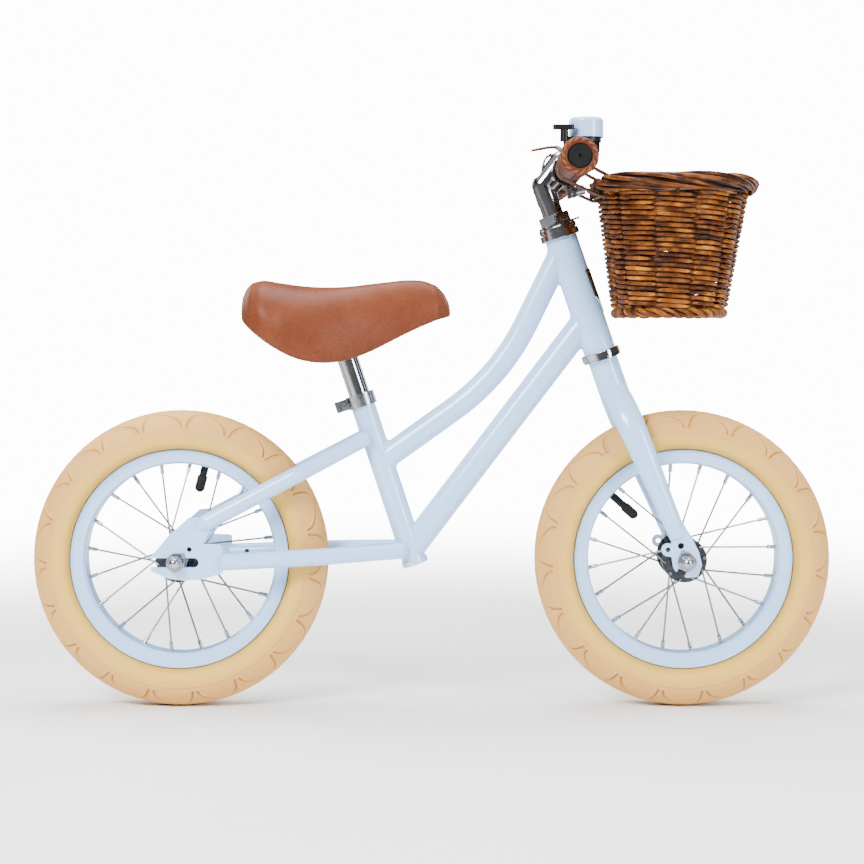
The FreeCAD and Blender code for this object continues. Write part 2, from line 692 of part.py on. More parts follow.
def grips():
    """Stitched sleeves with a raised roll at the outer end."""
    solids = []
    for side in SIDES:
        outer_y = side * (BAR_HALF - 1.0)
        inner_y = side * (BAR_HALF - GRIP_LENGTH)
        low, high = min(outer_y, inner_y), max(outer_y, inner_y)
        sleeve = bar_piece(low, high, GRIP_R)
        roll_in = side * (BAR_HALF - 11.0)
        sleeve = sleeve.fuse(bar_piece(min(outer_y, roll_in), max(outer_y, roll_in), GRIP_END_R))
        bore = disc_y(BAR_CENTRE.x, BAR_CENTRE.z, BAR_OD / 2, low - 1, high + 1)
        solids.append(sleeve.cut(bore).removeSplitter())
    return group(solids)


def grip_plugs():
    """Push-in end plugs with a small centre dimple."""
    solids = []
    for side in SIDES:
        tip = side * BAR_HALF
        face = side * (BAR_HALF - 3.0)
        root = side * (BAR_HALF - 16.0)
        cap = bar_piece(min(tip, face), max(tip, face), BAR_OD / 2 - 0.05)
        spigot = bar_piece(min(face, root), max(face, root), BAR_OD / 2 - 1.6)
        dimple = bar_piece(min(tip, tip - side * 2), max(tip, tip - side * 2), 1.6)
        solids.append(cap.fuse(spigot).cut(dimple).removeSplitter())
    return group(solids)


BELL_Y = -85.0
BELL_X = 156.3
BELL_LOW = 588.5
BELL_R = 17.4
BELL_HEIGHT = 20.2
LEVER_X = 133.0
LEVER_Y = -104.0


def bell_dome():
    """Deep cup with a rounded shoulder."""
    shoulder = 4.5
    wall = 1.4
    top = BELL_HEIGHT
    arc_outer = (BELL_R - shoulder * 0.293, top - shoulder * 0.293, BELL_R - shoulder, top)
    inner_r = BELL_R - wall
    arc_inner = (inner_r - 3.2 * 0.293, top - wall - 3.2 * 0.293, inner_r, top - wall - 3.2)
    cup = revolved([(inner_r, 0), (BELL_R, 0), (BELL_R, top - shoulder), arc_outer, (2.0, top),
                    (2.0, top - wall), (inner_r - 3.2, top - wall), arc_inner])
    return placed(cup, V(BELL_X, BELL_Y, BELL_LOW), FreeCAD.Rotation())


def bell_base():
    """Clamp ring on the bar, platform, centre post and lever boss."""
    band = bar_piece(BELL_Y - 8, BELL_Y + 8, 15.0)
    platform = Part.makeCylinder(15.2, 4.2, V(BELL_X, BELL_Y, 583.8))
    post = Part.makeCylinder(3.6, 24.6, V(BELL_X, BELL_Y, 583.8))
    screw = Part.makeCylinder(1.9, 26.0, V(BELL_X, BELL_Y, 583.8))
    riser = Part.makeBox(28, 15, 24, V(BAR_CENTRE.x - 8, BELL_Y - 7.5, BAR_CENTRE.z + 3))
    arm = Part.makeBox(24, 8, 4, V(LEVER_X - 3, LEVER_Y - 1, 583.8))
    link = Part.makeBox(12, 24, 4, V(BAR_CENTRE.x - 4, LEVER_Y - 1, 583.8))
    boss = Part.makeCylinder(4.3, 7.0, V(LEVER_X, LEVER_Y, 583.0))
    pinch = Part.makeBox(7, 12, 10, V(BAR_CENTRE.x + 21, BELL_Y - 6, 573.9))
    pin = Part.makeCylinder(2.0, 9.4, V(LEVER_X, LEVER_Y, 588.0))
    solid = band.fuse([platform, post.common(Part.makeBox(80, 80, 18.4, V(120, -120, 583.8))), screw, riser, arm,
                       link, boss, pinch, pin])
    return solid.cut(bar_piece(BELL_Y - 20, BELL_Y + 20, BAR_OD / 2)).removeSplitter()


def bell_lever():
    """Thumb paddle on a short sleeve that turns on the boss's pin."""
    sleeve = Part.makeCylinder(4.1, 5.0, V(LEVER_X, LEVER_Y, 590.3))
    paddle = Part.makeBox(21.5, 8.4, 4.6, V(LEVER_X - 11.5, LEVER_Y - 4.6, 595.0))
    upright = [edge for edge in paddle.Edges if abs(edge.tangentAt(edge.FirstParameter).z) > 0.9]
    paddle = paddle.makeFillet(3.2, upright)
    hole = Part.makeCylinder(2.05, 7.5, V(LEVER_X, LEVER_Y, 590.2))
    return sleeve.fuse(paddle).cut(hole).removeSplitter()


# ---- basket --------------------------------------------------------------------------
BASKET_LOW = 407.0
BASKET_TOP = 545.0
BASKET_WALL = 5.0
RAIL_OVERHANG = 11.0
RAIL_BELOW = 11.0
RAIL_ABOVE = 8.0
BASKET_BOTTOM_PLAN = (190.0, 309.0, 94.0)
BASKET_TOP_PLAN = (178.0, 333.0, 115.0)


def plan_wire(plan, inset, height):
    """Closed D-shaped outline: flat back, rounded front, at one height."""
    back, front, half = plan
    back += inset
    front -= inset
    half -= inset
    length = front - back
    side = [(back, 0.0), (back + 0.012 * length, 0.60 * half), (back + 0.15 * length, 0.94 * half),
            (back + 0.42 * length, half), (back + 0.70 * length, 0.88 * half),
            (back + 0.91 * length, 0.52 * half), (front, 0.0)]
    points = [V(x, y, height) for x, y in side] + [V(x, -y, height) for x, y in side[-2:0:-1]]
    curve = Part.BSplineCurve()
    curve.interpolate(points, PeriodicFlag=True)
    return Part.Wire([curve.toShape()])


def basket():
    """Open tapered tub with a thick rolled rim."""
    outer = Part.makeLoft([plan_wire(BASKET_BOTTOM_PLAN, 0, BASKET_LOW),
                           plan_wire(BASKET_TOP_PLAN, 0, BASKET_TOP)], True, True)
    inner = Part.makeLoft([plan_wire(BASKET_BOTTOM_PLAN, BASKET_WALL, BASKET_LOW + 7),
                           plan_wire(BASKET_TOP_PLAN, BASKET_WALL, BASKET_TOP + 1)], True, True)
    tub = outer.cut(inner)
    rail_out = Part.makeLoft([plan_wire(BASKET_TOP_PLAN, -RAIL_OVERHANG + 2, BASKET_TOP - RAIL_BELOW),
                              plan_wire(BASKET_TOP_PLAN, -RAIL_OVERHANG, BASKET_TOP + RAIL_ABOVE)], True, True)
    rail_in = Part.makeLoft([plan_wire(BASKET_TOP_PLAN, BASKET_WALL, BASKET_TOP - RAIL_BELOW - 1),
                             plan_wire(BASKET_TOP_PLAN, BASKET_WALL, BASKET_TOP + RAIL_ABOVE + 1)], True, True)
    tub = tub.fuse(rail_out.cut(rail_in)).removeSplitter()
    return tub.cut([strap_loop(side, 0.4) for side in SIDES])


STRAP_T = 2.4
STRAP_W = 15.0
STRAP_Y = 46.0
RAIL_POINT = V(179.0, 0, 543.0)
RAIL_LOOP_R = 16.5


def loop_face(extra):
    """Outline round the bar and the basket's rail, in the centre plane."""
    bar_r = BAR_OD / 2 + 0.15 + extra
    rail_r = RAIL_LOOP_R + extra
    away = RAIL_POINT - BAR_CENTRE
    heading = math.atan2(away.z, away.x)
    lean = math.acos((bar_r - rail_r) / away.Length)
    corners = []
    for centre, radius in ((BAR_CENTRE, bar_r), (RAIL_POINT, rail_r)):
        for sign in (1, -1):
            angle = heading + sign * lean
            corners.append(centre + V(radius * math.cos(angle), 0, radius * math.sin(angle)))
    bar_back = BAR_CENTRE - V(math.cos(heading), 0, math.sin(heading)) * bar_r
    rail_front = RAIL_POINT + V(math.cos(heading), 0, math.sin(heading)) * rail_r
    wire = Part.Wire([Part.Arc(corners[1], bar_back, corners[0]).toShape(),
                      Part.LineSegment(corners[0], corners[2]).toShape(),
                      Part.Arc(corners[2], rail_front, corners[3]).toShape(),
                      Part.LineSegment(corners[3], corners[1]).toShape()])
    return Part.Face(wire)


def strap_loop(side, clearance=0.0):
    """The closed band of one strap, or the room it needs where it passes through the basket."""
    low = side * STRAP_Y - STRAP_W / 2 - clearance
    width = STRAP_W + 2 * clearance
    outer = loop_face(STRAP_T + clearance)
    outer.translate(V(0, low, 0))
    inner = loop_face(-clearance)
    inner.translate(V(0, low, 0))
    return outer.extrude(V(0, width, 0)).cut(inner.extrude(V(0, width, 0)))


def strap(side):
    """The loop and its free tail, which stands up and back from the buckle."""
    low = side * STRAP_Y - STRAP_W / 2
    loop = strap_loop(side)
    x, z = BAR_CENTRE.x, BAR_CENTRE.z + BAR_OD / 2 + STRAP_T
    tail = plate([(x - 2, z - 2.0), (x - 2, z + 1.4), (x - 14, z + 10.6), (x - 38, z + 6.2), (x - 37.6, z + 4.2),
                  (x - 14.6, z + 8.2), (x - 6, z - 2.4)], low + 1, low + STRAP_W - 1)
    return loop.fuse(tail).removeSplitter()


def basket_straps():
    return group(strap(side) for side in SIDES)


def strap_buckles():
    """Square wire frames round each strap's tail."""
    solids = []
    x, z = BAR_CENTRE.x - 8.6, BAR_CENTRE.z + BAR_OD / 2 + STRAP_T + 5.6
    for side in SIDES:
        low = side * STRAP_Y - STRAP_W / 2
        frame = Part.makeBox(12.0, STRAP_W + 5.0, 8.4, V(-6.0, -2.5, -4.2))
        window = Part.makeBox(14.0, STRAP_W + 0.6, 5.0, V(-7.0, -0.3, -2.5))
        buckle = placed(frame.cut(window), V(x, low, z), FreeCAD.Rotation(V(0, 1, 0), 38))
        solids.append(buckle.cut(strap(side)))
    return group(solids)


# ---- seat ----------------------------------------------------------------------------
POST_SHOWING = 79.0


def seat_post():
    return pipe(SEAT_TUBE_TOP - SEAT_UP * 99, SEAT_TUBE_TOP + SEAT_UP * POST_SHOWING, SEAT_POST_OD / 2,
                SEAT_POST_OD / 2 - 1.8)


def seat_clamp():
    """Band with two rear ears, split on the bike's centre plane."""
    band_in = SEAT_TUBE_OD / 2
    band = ring(band_in, 15.3, -11.5, 2.0)
    ears = Part.makeBox(16, 13, 11.5, V(-28, -6.5, -10.5))
    ears = ears.cut(Part.makeCylinder(band_in, 20, V(0, 0, -14)))
    split = Part.makeBox(30, 2.6, 20, V(-32, -1.3, -14))
    hole = Part.makeCylinder(3.1, 40, V(-22, -20, -4.8), V(0, 1, 0))
    lip = ring(SEAT_POST_OD / 2 + 0.6, band_in + 0.2, 0.0, 2.0)
    solid = band.fuse([ears, lip]).cut([split, hole]).removeSplitter()
    return on_seat_axis(solid)


def on_seat_axis(shape):
    tilt = math.degrees(math.atan2(-SEAT_UP.x, SEAT_UP.z))
    return placed(shape, SEAT_TUBE_TOP, FreeCAD.Rotation(V(0, 1, 0), -tilt))


def seat_clamp_bolt():
    """Cross-slotted screw along Y with its nut."""
    shank = Part.makeCylinder(3.0, 13.0, V(-22, -6.5, -4.8), V(0, 1, 0))
    head = Part.makeCylinder(5.5, 4.0, V(-22, -10.5, -4.8), V(0, 1, 0))
    nut = Part.makeCylinder(5.0, 4.0, V(-22, 6.5, -4.8), V(0, 1, 0))
    slots = [Part.makeBox(6.5, 1.6, 1.4, V(-25.25, -10.6, -5.5)),
             Part.makeBox(1.4, 1.6, 6.5, V(-22.7, -10.6, -8.05))]
    return on_seat_axis(shank.fuse([head, nut]).cut(slots).removeSplitter())


SADDLE_STATIONS = ((-198.0, 36.0, 421.0, 405.0), (-190.0, 55.0, 439.0, 399.0), (-170.0, 68.0, 444.5, 383.0),
                   (-138.0, 71.0, 441.0, 366.0), (-110.0, 66.0, 440.0, 361.6), (-78.0, 52.0, 441.8, 367.5),
                   (-44.0, 38.0, 446.2, 384.0), (-14.0, 30.0, 447.6, 400.0), (8.0, 25.0, 438.5, 407.0),
                   (19.0, 13.0, 421.0, 409.5))


def saddle_body(inset, lower):
    """Loft through crowned sections; an inset shrinks it, and lower moves its underside down."""
    wires = []
    stations = SADDLE_STATIONS[1:-1] if inset else SADDLE_STATIONS
    for x, half, top, bottom in stations:
        depth = top - bottom
        shoulder = bottom + 0.45 * depth
        half -= inset
        top -= inset
        bottom -= lower
        points = [V(x, -half, shoulder), V(x, -0.9 * half, top - 0.22 * depth),
                  V(x, -0.6 * half, top - 0.06 * depth), V(x, 0, top), V(x, 0.6 * half, top - 0.06 * depth),
                  V(x, 0.9 * half, top - 0.22 * depth), V(x, half, shoulder)]
        crown = Part.BSplineCurve()
        crown.interpolate(points)
        feet = [V(x, half, bottom), V(x, -half, bottom)]
        wires.append(Part.Wire([crown.toShape(), Part.LineSegment(points[-1], feet[0]).toShape(),
                                Part.LineSegment(feet[0], feet[1]).toShape(),
                                Part.LineSegment(feet[1], points[0]).toShape()]))
    return Part.makeLoft(wires, True, False)


def saddle_pad():
    """Padded cover with its skirts folded round the base."""
    return saddle_body(0.0, 0.0).cut(saddle_body(9.0, 12.0))


def saddle_base():
    """Moulded pan inside the cover."""
    return saddle_body(9.4, -3.0).cut(saddle_body(13.0, 12.0))


def saddle_clamp():
    """Collar on the post with a bolted plate up to the pan."""
    low = SEAT_TUBE_TOP + SEAT_UP * (POST_SHOWING - 24)
    high = SEAT_TUBE_TOP + SEAT_UP * POST_SHOWING
    collar = pipe(low, high, SEAT_POST_OD / 2 + 3.5, SEAT_POST_OD / 2)
    block = Part.makeBox(44, 30, 60, V(high.x - 22, -15, high.z - 6))
    block = block.cut(rod(low, high, SEAT_POST_OD / 2))
    block = block.common(saddle_body(13.1, 20.0))
    return max(block.fuse(collar).removeSplitter().Solids, key=lambda solid: solid.Volume)


# ---- build ---------------------------------------------------------------------------
FRONT_SPOKE_ANGLE = 6.3
REAR_SPOKE_ANGLE = 12.4
FRONT_VALVE = (138.3, 63.0)
REAR_VALVE = (75.3, 71.0)
FRONT_LOBE_ANGLE = 110.0
REAR_LOBE_ANGLE = 44.0


def wheel_parts(name, axle_point, spoke_angle, valve, dropout_in, lobe_angle):
    """Every piece that is centred on one axle."""
    shapes = {
        "tyre": tyre(),
        "inner_tube": inner_tube(*valve),
        "valve_cap": valve_cap(*valve),
        "rim": rim(spoke_angle, valve[0]),
        "hub": hub(spoke_angle),
        "hub_balls": hub_balls(),
        "spokes": spokes(spoke_angle),
        "nipples": nipples(spoke_angle),
        "axle": axle(dropout_in),
        "cones": cones(dropout_in),
        "tab_washers": tab_washers(dropout_in, lobe_angle),
        "axle_nuts": axle_nuts(dropout_in),
    }
    for piece, shape in shapes.items():
        export(f"{name}_{piece}", on_wheel(shape, axle_point))


SINGLE_PARTS = (head_tube, top_tube, down_tube, seat_tube, seat_stays, chain_stays, rear_dropouts, head_badge,
                upper_headset_cup, lower_headset_cup, headset_balls, seat_clamp, seat_clamp_bolt,
                steerer_tube, fork_legs, fork_dropouts, crown_race, adjusting_race, headset_washer,
                headset_locknut, stem, stem_bolts, stem_wedge, handlebar, grips, grip_plugs, bell_base,
                bell_dome, bell_lever, basket, basket_straps, strap_buckles, seat_post, saddle_base,
                saddle_pad, saddle_clamp)

for make in SINGLE_PARTS:
    export(make.__name__, make())

wheel_parts("front", FRONT_AXLE, FRONT_SPOKE_ANGLE, FRONT_VALVE, FRONT_DROPOUT_IN, FRONT_LOBE_ANGLE)
wheel_parts("rear", REAR_AXLE, REAR_SPOKE_ANGLE, REAR_VALVE, REAR_DROPOUT_IN, REAR_LOBE_ANGLE)
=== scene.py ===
import math

import bmesh
import bpy
import numpy as np
from mathutils import Matrix, Vector


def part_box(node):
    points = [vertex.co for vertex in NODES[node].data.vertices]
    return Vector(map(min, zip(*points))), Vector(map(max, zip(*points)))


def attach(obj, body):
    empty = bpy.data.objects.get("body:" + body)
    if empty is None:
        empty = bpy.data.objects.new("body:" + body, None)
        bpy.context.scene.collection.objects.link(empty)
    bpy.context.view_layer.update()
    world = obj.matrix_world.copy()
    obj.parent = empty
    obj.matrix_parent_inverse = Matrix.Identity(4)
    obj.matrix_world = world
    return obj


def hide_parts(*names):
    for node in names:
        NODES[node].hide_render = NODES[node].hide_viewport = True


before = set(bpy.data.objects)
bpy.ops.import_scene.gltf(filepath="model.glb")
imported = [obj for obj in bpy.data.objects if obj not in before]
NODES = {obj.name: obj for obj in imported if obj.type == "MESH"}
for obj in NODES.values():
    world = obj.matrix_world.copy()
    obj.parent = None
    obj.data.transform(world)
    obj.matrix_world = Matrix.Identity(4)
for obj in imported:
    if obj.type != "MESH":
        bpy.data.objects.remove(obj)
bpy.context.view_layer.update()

MM = 0.001
FULL_TURN = 2 * math.pi

# ---- places that several pieces share, in metres -------------------------------------
FRONT_AXLE = (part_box("front_axle")[0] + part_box("front_axle")[1]) / 2
REAR_AXLE = (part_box("rear_axle")[0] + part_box("rear_axle")[1]) / 2
BAR_LOW, BAR_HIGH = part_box("handlebar")
BAR = (BAR_LOW + BAR_HIGH) / 2
BAR_R = (BAR_HIGH.z - BAR_LOW.z) / 2
HEAD_TILT = math.radians(19.0)
STEER_UP = Vector((-math.sin(HEAD_TILT), 0, math.cos(HEAD_TILT)))
HEAD_TOP = Vector((0.1363, 0, 0.4910))
HEAD_R = 0.017
RANDOM = np.random.default_rng(7)


# ---- mesh helpers --------------------------------------------------------------------
def mesh_object(name, verts, faces, material=None, smooth=True, rods=None):
    """A mesh object from arrays, with normals facing out; rods is an optional vector for each vertex."""
    mesh = bpy.data.meshes.new(name)
    points = [tuple(vert) for vert in np.asarray(verts, float)]
    loops = [tuple(int(i) for i in face) for face in faces]
    mesh.from_pydata(points, [], loops)
    mesh.validate()
    if rods is not None:
        layer = mesh.attributes.new("rod", "FLOAT_VECTOR", "POINT")
        layer.data.foreach_set("vector", np.asarray(rods, np.float32).ravel())
    solid = bmesh.new()
    solid.from_mesh(mesh)
    bmesh.ops.recalc_face_normals(solid, faces=solid.faces)
    solid.to_mesh(mesh)
    solid.free()
    if smooth:
        mesh.polygons.foreach_set("use_smooth", [True] * len(mesh.polygons))
    mesh.update()
    obj = bpy.data.objects.new(name, mesh)
    bpy.context.scene.collection.objects.link(obj)
    if material is not None:
        mesh.materials.append(material)
    return obj


class Builder:
    """Gathers many closed surfaces into one mesh."""

    def __init__(self):
        self.verts = []
        self.faces = []
        self.rods = []
        self.count = 0

    def add(self, verts, faces, rods=None):
        verts = np.asarray(verts, float)
        self.verts.append(verts)
        self.faces.extend([tuple(i + self.count for i in face) for face in faces])
        self.rods.append(np.zeros_like(verts) if rods is None else np.asarray(rods, float))
        self.count += len(verts)

    def build(self, name, material):
        return mesh_object(name, np.concatenate(self.verts), self.faces, material, True,
                           np.concatenate(self.rods))


def grid_faces(rows, cols, wrap_rows=False, wrap_cols=True):
    """Quads of a rows x cols grid of vertices."""
    faces = []
    for i in range(rows if wrap_rows else rows - 1):
        ni = (i + 1) % rows
        for j in range(cols if wrap_cols else cols - 1):
            nj = (j + 1) % cols
            faces.append((i * cols + j, i * cols + nj, ni * cols + nj, ni * cols + j))
    return faces


def frames_along(points, closed):
    """Tangent, side and normal at each point, turning as little as possible."""
    if closed:
        tangents = np.roll(points, -1, 0) - np.roll(points, 1, 0)
    else:
        tangents = np.gradient(points, axis=0)
    tangents /= np.linalg.norm(tangents, axis=1)[:, None]
    up = np.array([0.0, 0.0, 1.0])
    if abs(tangents[0] @ up) > 0.9:
        up = np.array([1.0, 0.0, 0.0])
    sides = np.zeros_like(points)
    side = np.cross(tangents[0], up)
    for i, tangent in enumerate(tangents):
        side = side - tangent * (side @ tangent)
        side /= np.linalg.norm(side)
        sides[i] = side
    if closed:
        last = sides[-1] - tangents[0] * (sides[-1] @ tangents[0])
        last /= np.linalg.norm(last)
        normal0 = np.cross(tangents[0], sides[0])
        twist = math.atan2(last @ normal0, last @ sides[0])
        for i in range(len(points)):
            angle = -twist * i / len(points)
            normal = np.cross(tangents[i], sides[i])
            sides[i] = sides[i] * math.cos(angle) + normal * math.sin(angle)
    return tangents, sides, np.cross(tangents, sides)


def tube(points, radius, segments=8, closed=False, number=0.0):
    """A round rod along points: vertices, faces and the rod attribute (along, round, rod number)."""
    points = np.asarray(points, float)
    _, sides, normals = frames_along(points, closed)
    radius = np.broadcast_to(np.asarray(radius, float), len(points))
    angles = np.linspace(0, FULL_TURN, segments, endpoint=False)
    spokes = (np.cos(angles)[None, :, None] * sides[:, None, :]
              + np.sin(angles)[None, :, None] * normals[:, None, :])
    rings = points[:, None, :] + radius[:, None, None] * spokes
    steps = np.linalg.norm(np.diff(points, axis=0), axis=1)
    along = np.concatenate([[0], np.cumsum(steps)])
    rods = np.zeros((len(points), segments, 3))
    rods[:, :, 0] = along[:, None]
    rods[:, :, 1] = angles[None, :]
    rods[:, :, 2] = number
    faces = grid_faces(len(points), segments, wrap_rows=closed)
    verts = rings.reshape(-1, 3)
    rods = rods.reshape(-1, 3)
    if not closed:
        first = len(verts)
        verts = np.concatenate([verts, points[:1], points[-1:]])
        rods = np.concatenate([rods, [[0, 0, number]], [[along[-1], 0, number]]])
        last_ring = (len(points) - 1) * segments
        for j in range(segments):
            nj = (j + 1) % segments
            faces.append((first, nj, j))
            faces.append((first + 1, last_ring + j, last_ring + nj))
    return verts, faces, rods


def lathe(profile, axis_point, axis, segments, start):
    """A closed (radius, height) outline turned about an axis, from the start direction on."""
    axis = Vector(axis)
    side = Vector(start)
    other = axis.cross(side)
    profile = np.asarray(profile, float)
    angles = np.linspace(0, FULL_TURN, segments, endpoint=False)
    ring = (np.cos(angles)[:, None] * np.array(side)[None, :]
            + np.sin(angles)[:, None] * np.array(other)[None, :])
    verts = (np.array(axis_point)[None, None, :] + profile[None, :, 0, None] * ring[:, None, :]
             + profile[None, :, 1, None] * np.array(axis)[None, None, :])
    faces = grid_faces(segments, len(profile), wrap_rows=True, wrap_cols=True)
    return verts.reshape(-1, 3), faces


def smooth_curve(xs, ys):
    """A smooth curve through points, as a function."""
    xs = np.asarray(xs, float)
    ys = np.asarray(ys, float)
    slopes = np.gradient(ys, xs)

    def value(x):
        x = np.clip(np.asarray(x, float), xs[0], xs[-1])
        i = np.clip(np.searchsorted(xs, x) - 1, 0, len(xs) - 2)
        h = xs[i + 1] - xs[i]
        t = (x - xs[i]) / h
        level = ys[i] * (1 + 2 * t) * (1 - t) ** 2 + ys[i + 1] * t ** 2 * (3 - 2 * t)
        return level + h * (slopes[i] * t * (1 - t) ** 2 - slopes[i + 1] * t ** 2 * (1 - t))

    return value


# ---- materials -----------------------------------------------------------------------
class Nodes:
    """Short wrapper for building a shader tree."""

    def __init__(self, name):
        self.material = bpy.data.materials.new(name)
        self.material.use_nodes = True
        self.tree = self.material.node_tree
        self.shader = self.tree.nodes["Principled BSDF"]

    def new(self, kind, **values):
        node = self.tree.nodes.new(kind)
        for key, value in values.items():
            if hasattr(node, key):
                setattr(node, key, value)
            else:
                node.inputs[key.replace("_", " ")].default_value = value
        return node

    def link(self, source, target):
        self.tree.links.new(source, target)

    def coords(self, scale=(1, 1, 1)):
        source = self.new("ShaderNodeTexCoord").outputs["Object"]
        mapping = self.new("ShaderNodeMapping")
        mapping.inputs["Scale"].default_value = scale
        self.link(source, mapping.inputs["Vector"])
        return mapping.outputs["Vector"]

    def noise(self, scale, detail=3.0, rough=0.5, vector=None):
        node = self.new("ShaderNodeTexNoise")
        node.inputs["Scale"].default_value = scale
        node.inputs["Detail"].default_value = detail
        node.inputs["Roughness"].default_value = rough
        if vector is not None:
            self.link(vector, node.inputs["Vector"])
        return node.outputs["Fac"]

    def ramp(self, factor, stops):
        node = self.new("ShaderNodeValToRGB")
        elements = node.color_ramp.elements
        while len(elements) < len(stops):
            elements.new(0.5)
        for element, (position, colour) in zip(elements, stops):
            element.position = position
            element.color = (*colour, 1)
        self.link(factor, node.inputs["Fac"])
        return node.outputs["Color"]

    def mix(self, factor, a, b, mode="MIX"):
        node = self.new("ShaderNodeMix", data_type="RGBA", blend_type=mode)
        for socket, value in ((node.inputs[0], factor), (node.inputs[6], a), (node.inputs[7], b)):
            if isinstance(value, (int, float)):
                socket.default_value = value
            elif isinstance(value, tuple):
                socket.default_value = (*value, 1)
            else:
                self.link(value, socket)
        return node.outputs[2]

    def math(self, operation, a, b=0.0):
        node = self.new("ShaderNodeMath", operation=operation)
        for socket, value in ((node.inputs[0], a), (node.inputs[1], b)):
            if isinstance(value, (int, float)):
                socket.default_value = value
            else:
                self.link(value, socket)
        return node.outputs[0]

    def span(self, factor, low, high):
        node = self.new("ShaderNodeMapRange")
        node.inputs["To Min"].default_value = low
        node.inputs["To Max"].default_value = high
        self.link(factor, node.inputs["Value"])
        return node.outputs["Result"]

    def bump(self, height, strength, distance, normal=None):
        node = self.new("ShaderNodeBump")
        node.inputs["Strength"].default_value = strength
        node.inputs["Distance"].default_value = distance
        self.link(height, node.inputs["Height"])
        if normal is not None:
            self.link(normal, node.inputs["Normal"])
        return node.outputs["Normal"]

    def finish(self, colour=None, roughness=None, normal=None, **constants):
        for socket, value in (("Base Color", colour), ("Roughness", roughness), ("Normal", normal)):
            if value is None:
                continue
            if isinstance(value, (int, float)):
                self.shader.inputs[socket].default_value = value
            elif isinstance(value, tuple):
                self.shader.inputs[socket].default_value = (*value, 1)
            else:
                self.link(value, self.shader.inputs[socket])
        for name, value in constants.items():
            self.shader.inputs[name.replace("_", " ")].default_value = value
        return self.material


def paint_material(name, base):
    """Glossy enamel: faint flow in the film, and a little dust-dulling."""
    n = Nodes(name)
    where = n.coords()
    cloud = n.noise(9.0, 2.0, 0.5, where)
    light = tuple(min(1.0, c * 1.02) for c in base)
    deep = tuple(c * 0.96 for c in base)
    colour = n.ramp(cloud, [(0.3, deep), (0.7, light)])
    speck = n.noise(1800.0, 1.0, 0.5, where)
    rough = n.span(n.noise(60.0, 3.0, 0.6, where), 0.16, 0.27)
    flow = n.noise(220.0, 2.0, 0.5, where)
    normal = n.bump(speck, 0.02, 0.0002, n.bump(flow, 0.05, 0.0006))
    return n.finish(colour, rough, normal, Coat_Weight=0.5, Coat_Roughness=0.05, Specular_IOR_Level=0.4)


def chrome_material():
    """Plated steel with fine polish lines and faint smears."""
    n = Nodes("polished_chrome")
    where = n.coords()
    smear = n.noise(30.0, 4.0, 0.6, where)
    rough = n.span(smear, 0.05, 0.16)
    fine = n.noise(900.0, 2.0, 0.5, n.coords((1, 8, 1)))
    colour = n.ramp(smear, [(0.2, (0.30, 0.31, 0.34)), (0.8, (0.46, 0.47, 0.50))])
    return n.finish(colour, rough, n.bump(fine, 0.03, 0.0002), Metallic=1.0)


def steel_material(name, dark, light, low=0.22, high=0.42):
    """Zinc-plated or turned steel: streaked tone and uneven roughness."""
    n = Nodes(name)
    where = n.coords()
    streak = n.noise(140.0, 4.0, 0.65, where)
    grain = n.noise(1400.0, 2.0, 0.5, where)
    colour = n.ramp(streak, [(0.25, dark), (0.75, light)])
    normal = n.bump(grain, 0.08, 0.0002)
    return n.finish(colour, n.span(streak, low, high), normal, Metallic=1.0)


def tyre_material():
    """Cream rubber, darker towards the rim and a little darker at the crown, with moulding streaks,
    specks and painted shade in the grooves.
    """
    n = Nodes("cream_rubber")
    band = n.new("ShaderNodeAttribute", attribute_name="rod")
    split = n.new("ShaderNodeSeparateXYZ")
    n.link(band.outputs["Vector"], split.inputs[0])
    height = split.outputs["Y"]
    groove = split.outputs["Z"]
    where = n.coords()
    cloud = n.noise(16.0, 4.0, 0.6, where)
    tone = n.math("ADD", height, n.math("MULTIPLY", n.math("SUBTRACT", cloud, 0.5), 0.45))
    colour = n.ramp(tone, [(0.0, (0.56, 0.31, 0.050)), (0.30, (0.68, 0.415, 0.072)),
                           (0.62, (0.67, 0.395, 0.076)), (0.9, (0.62, 0.335, 0.092))])
    # Painted shade: grooves, sipes and moulded lines are darkened toward brown.
    groove_shaded = n.mix(groove, colour, (0.42, 0.16, 0.024))
    speck_field = n.noise(260.0, 2.0, 0.5, where)
    speck = n.ramp(speck_field, [(0.70, (0, 0, 0)), (0.80, (1, 1, 1))])
    dirty = n.mix(n.math("MULTIPLY", speck, 0.45), groove_shaded, (0.24, 0.12, 0.04))
    grain = n.noise(700.0, 3.0, 0.6, where)
    normal = n.bump(grain, 0.22, 0.0005, n.bump(cloud, 0.1, 0.002))
    return n.finish(dirty, n.span(cloud, 0.58, 0.78), normal, Specular_IOR_Level=0.3,
                    Subsurface_Weight=0.06, Subsurface_Scale=0.004)


def leather_material(name, dark, mid, light, grain_scale=420.0, shine=0.20, rough=0.46):
    """Grained, waxed leather: cell grain, cloudy dye and rubbed high spots."""
    n = Nodes(name)
    where = n.coords()
    cloud = n.noise(22.0, 4.0, 0.6, where)
    colour = n.ramp(cloud, [(0.25, dark), (0.52, mid), (0.8, light)])
    cells = n.new("ShaderNodeTexVoronoi")
    cells.inputs["Scale"].default_value = grain_scale
    n.link(where, cells.inputs["Vector"])
    grain = n.ramp(cells.outputs["Distance"], [(0.0, (0, 0, 0)), (0.55, (1, 1, 1))])
    creased = n.mix(0.16, colour, n.mix(1.0, colour, grain, "MULTIPLY"))
    fine = n.noise(grain_scale * 2.5, 3.0, 0.6, where)
    normal = n.bump(grain, 0.16, 0.0004, n.bump(fine, 0.1, 0.0003))
    return n.finish(creased, n.span(fine, rough, rough + 0.13), normal, Specular_IOR_Level=shine)


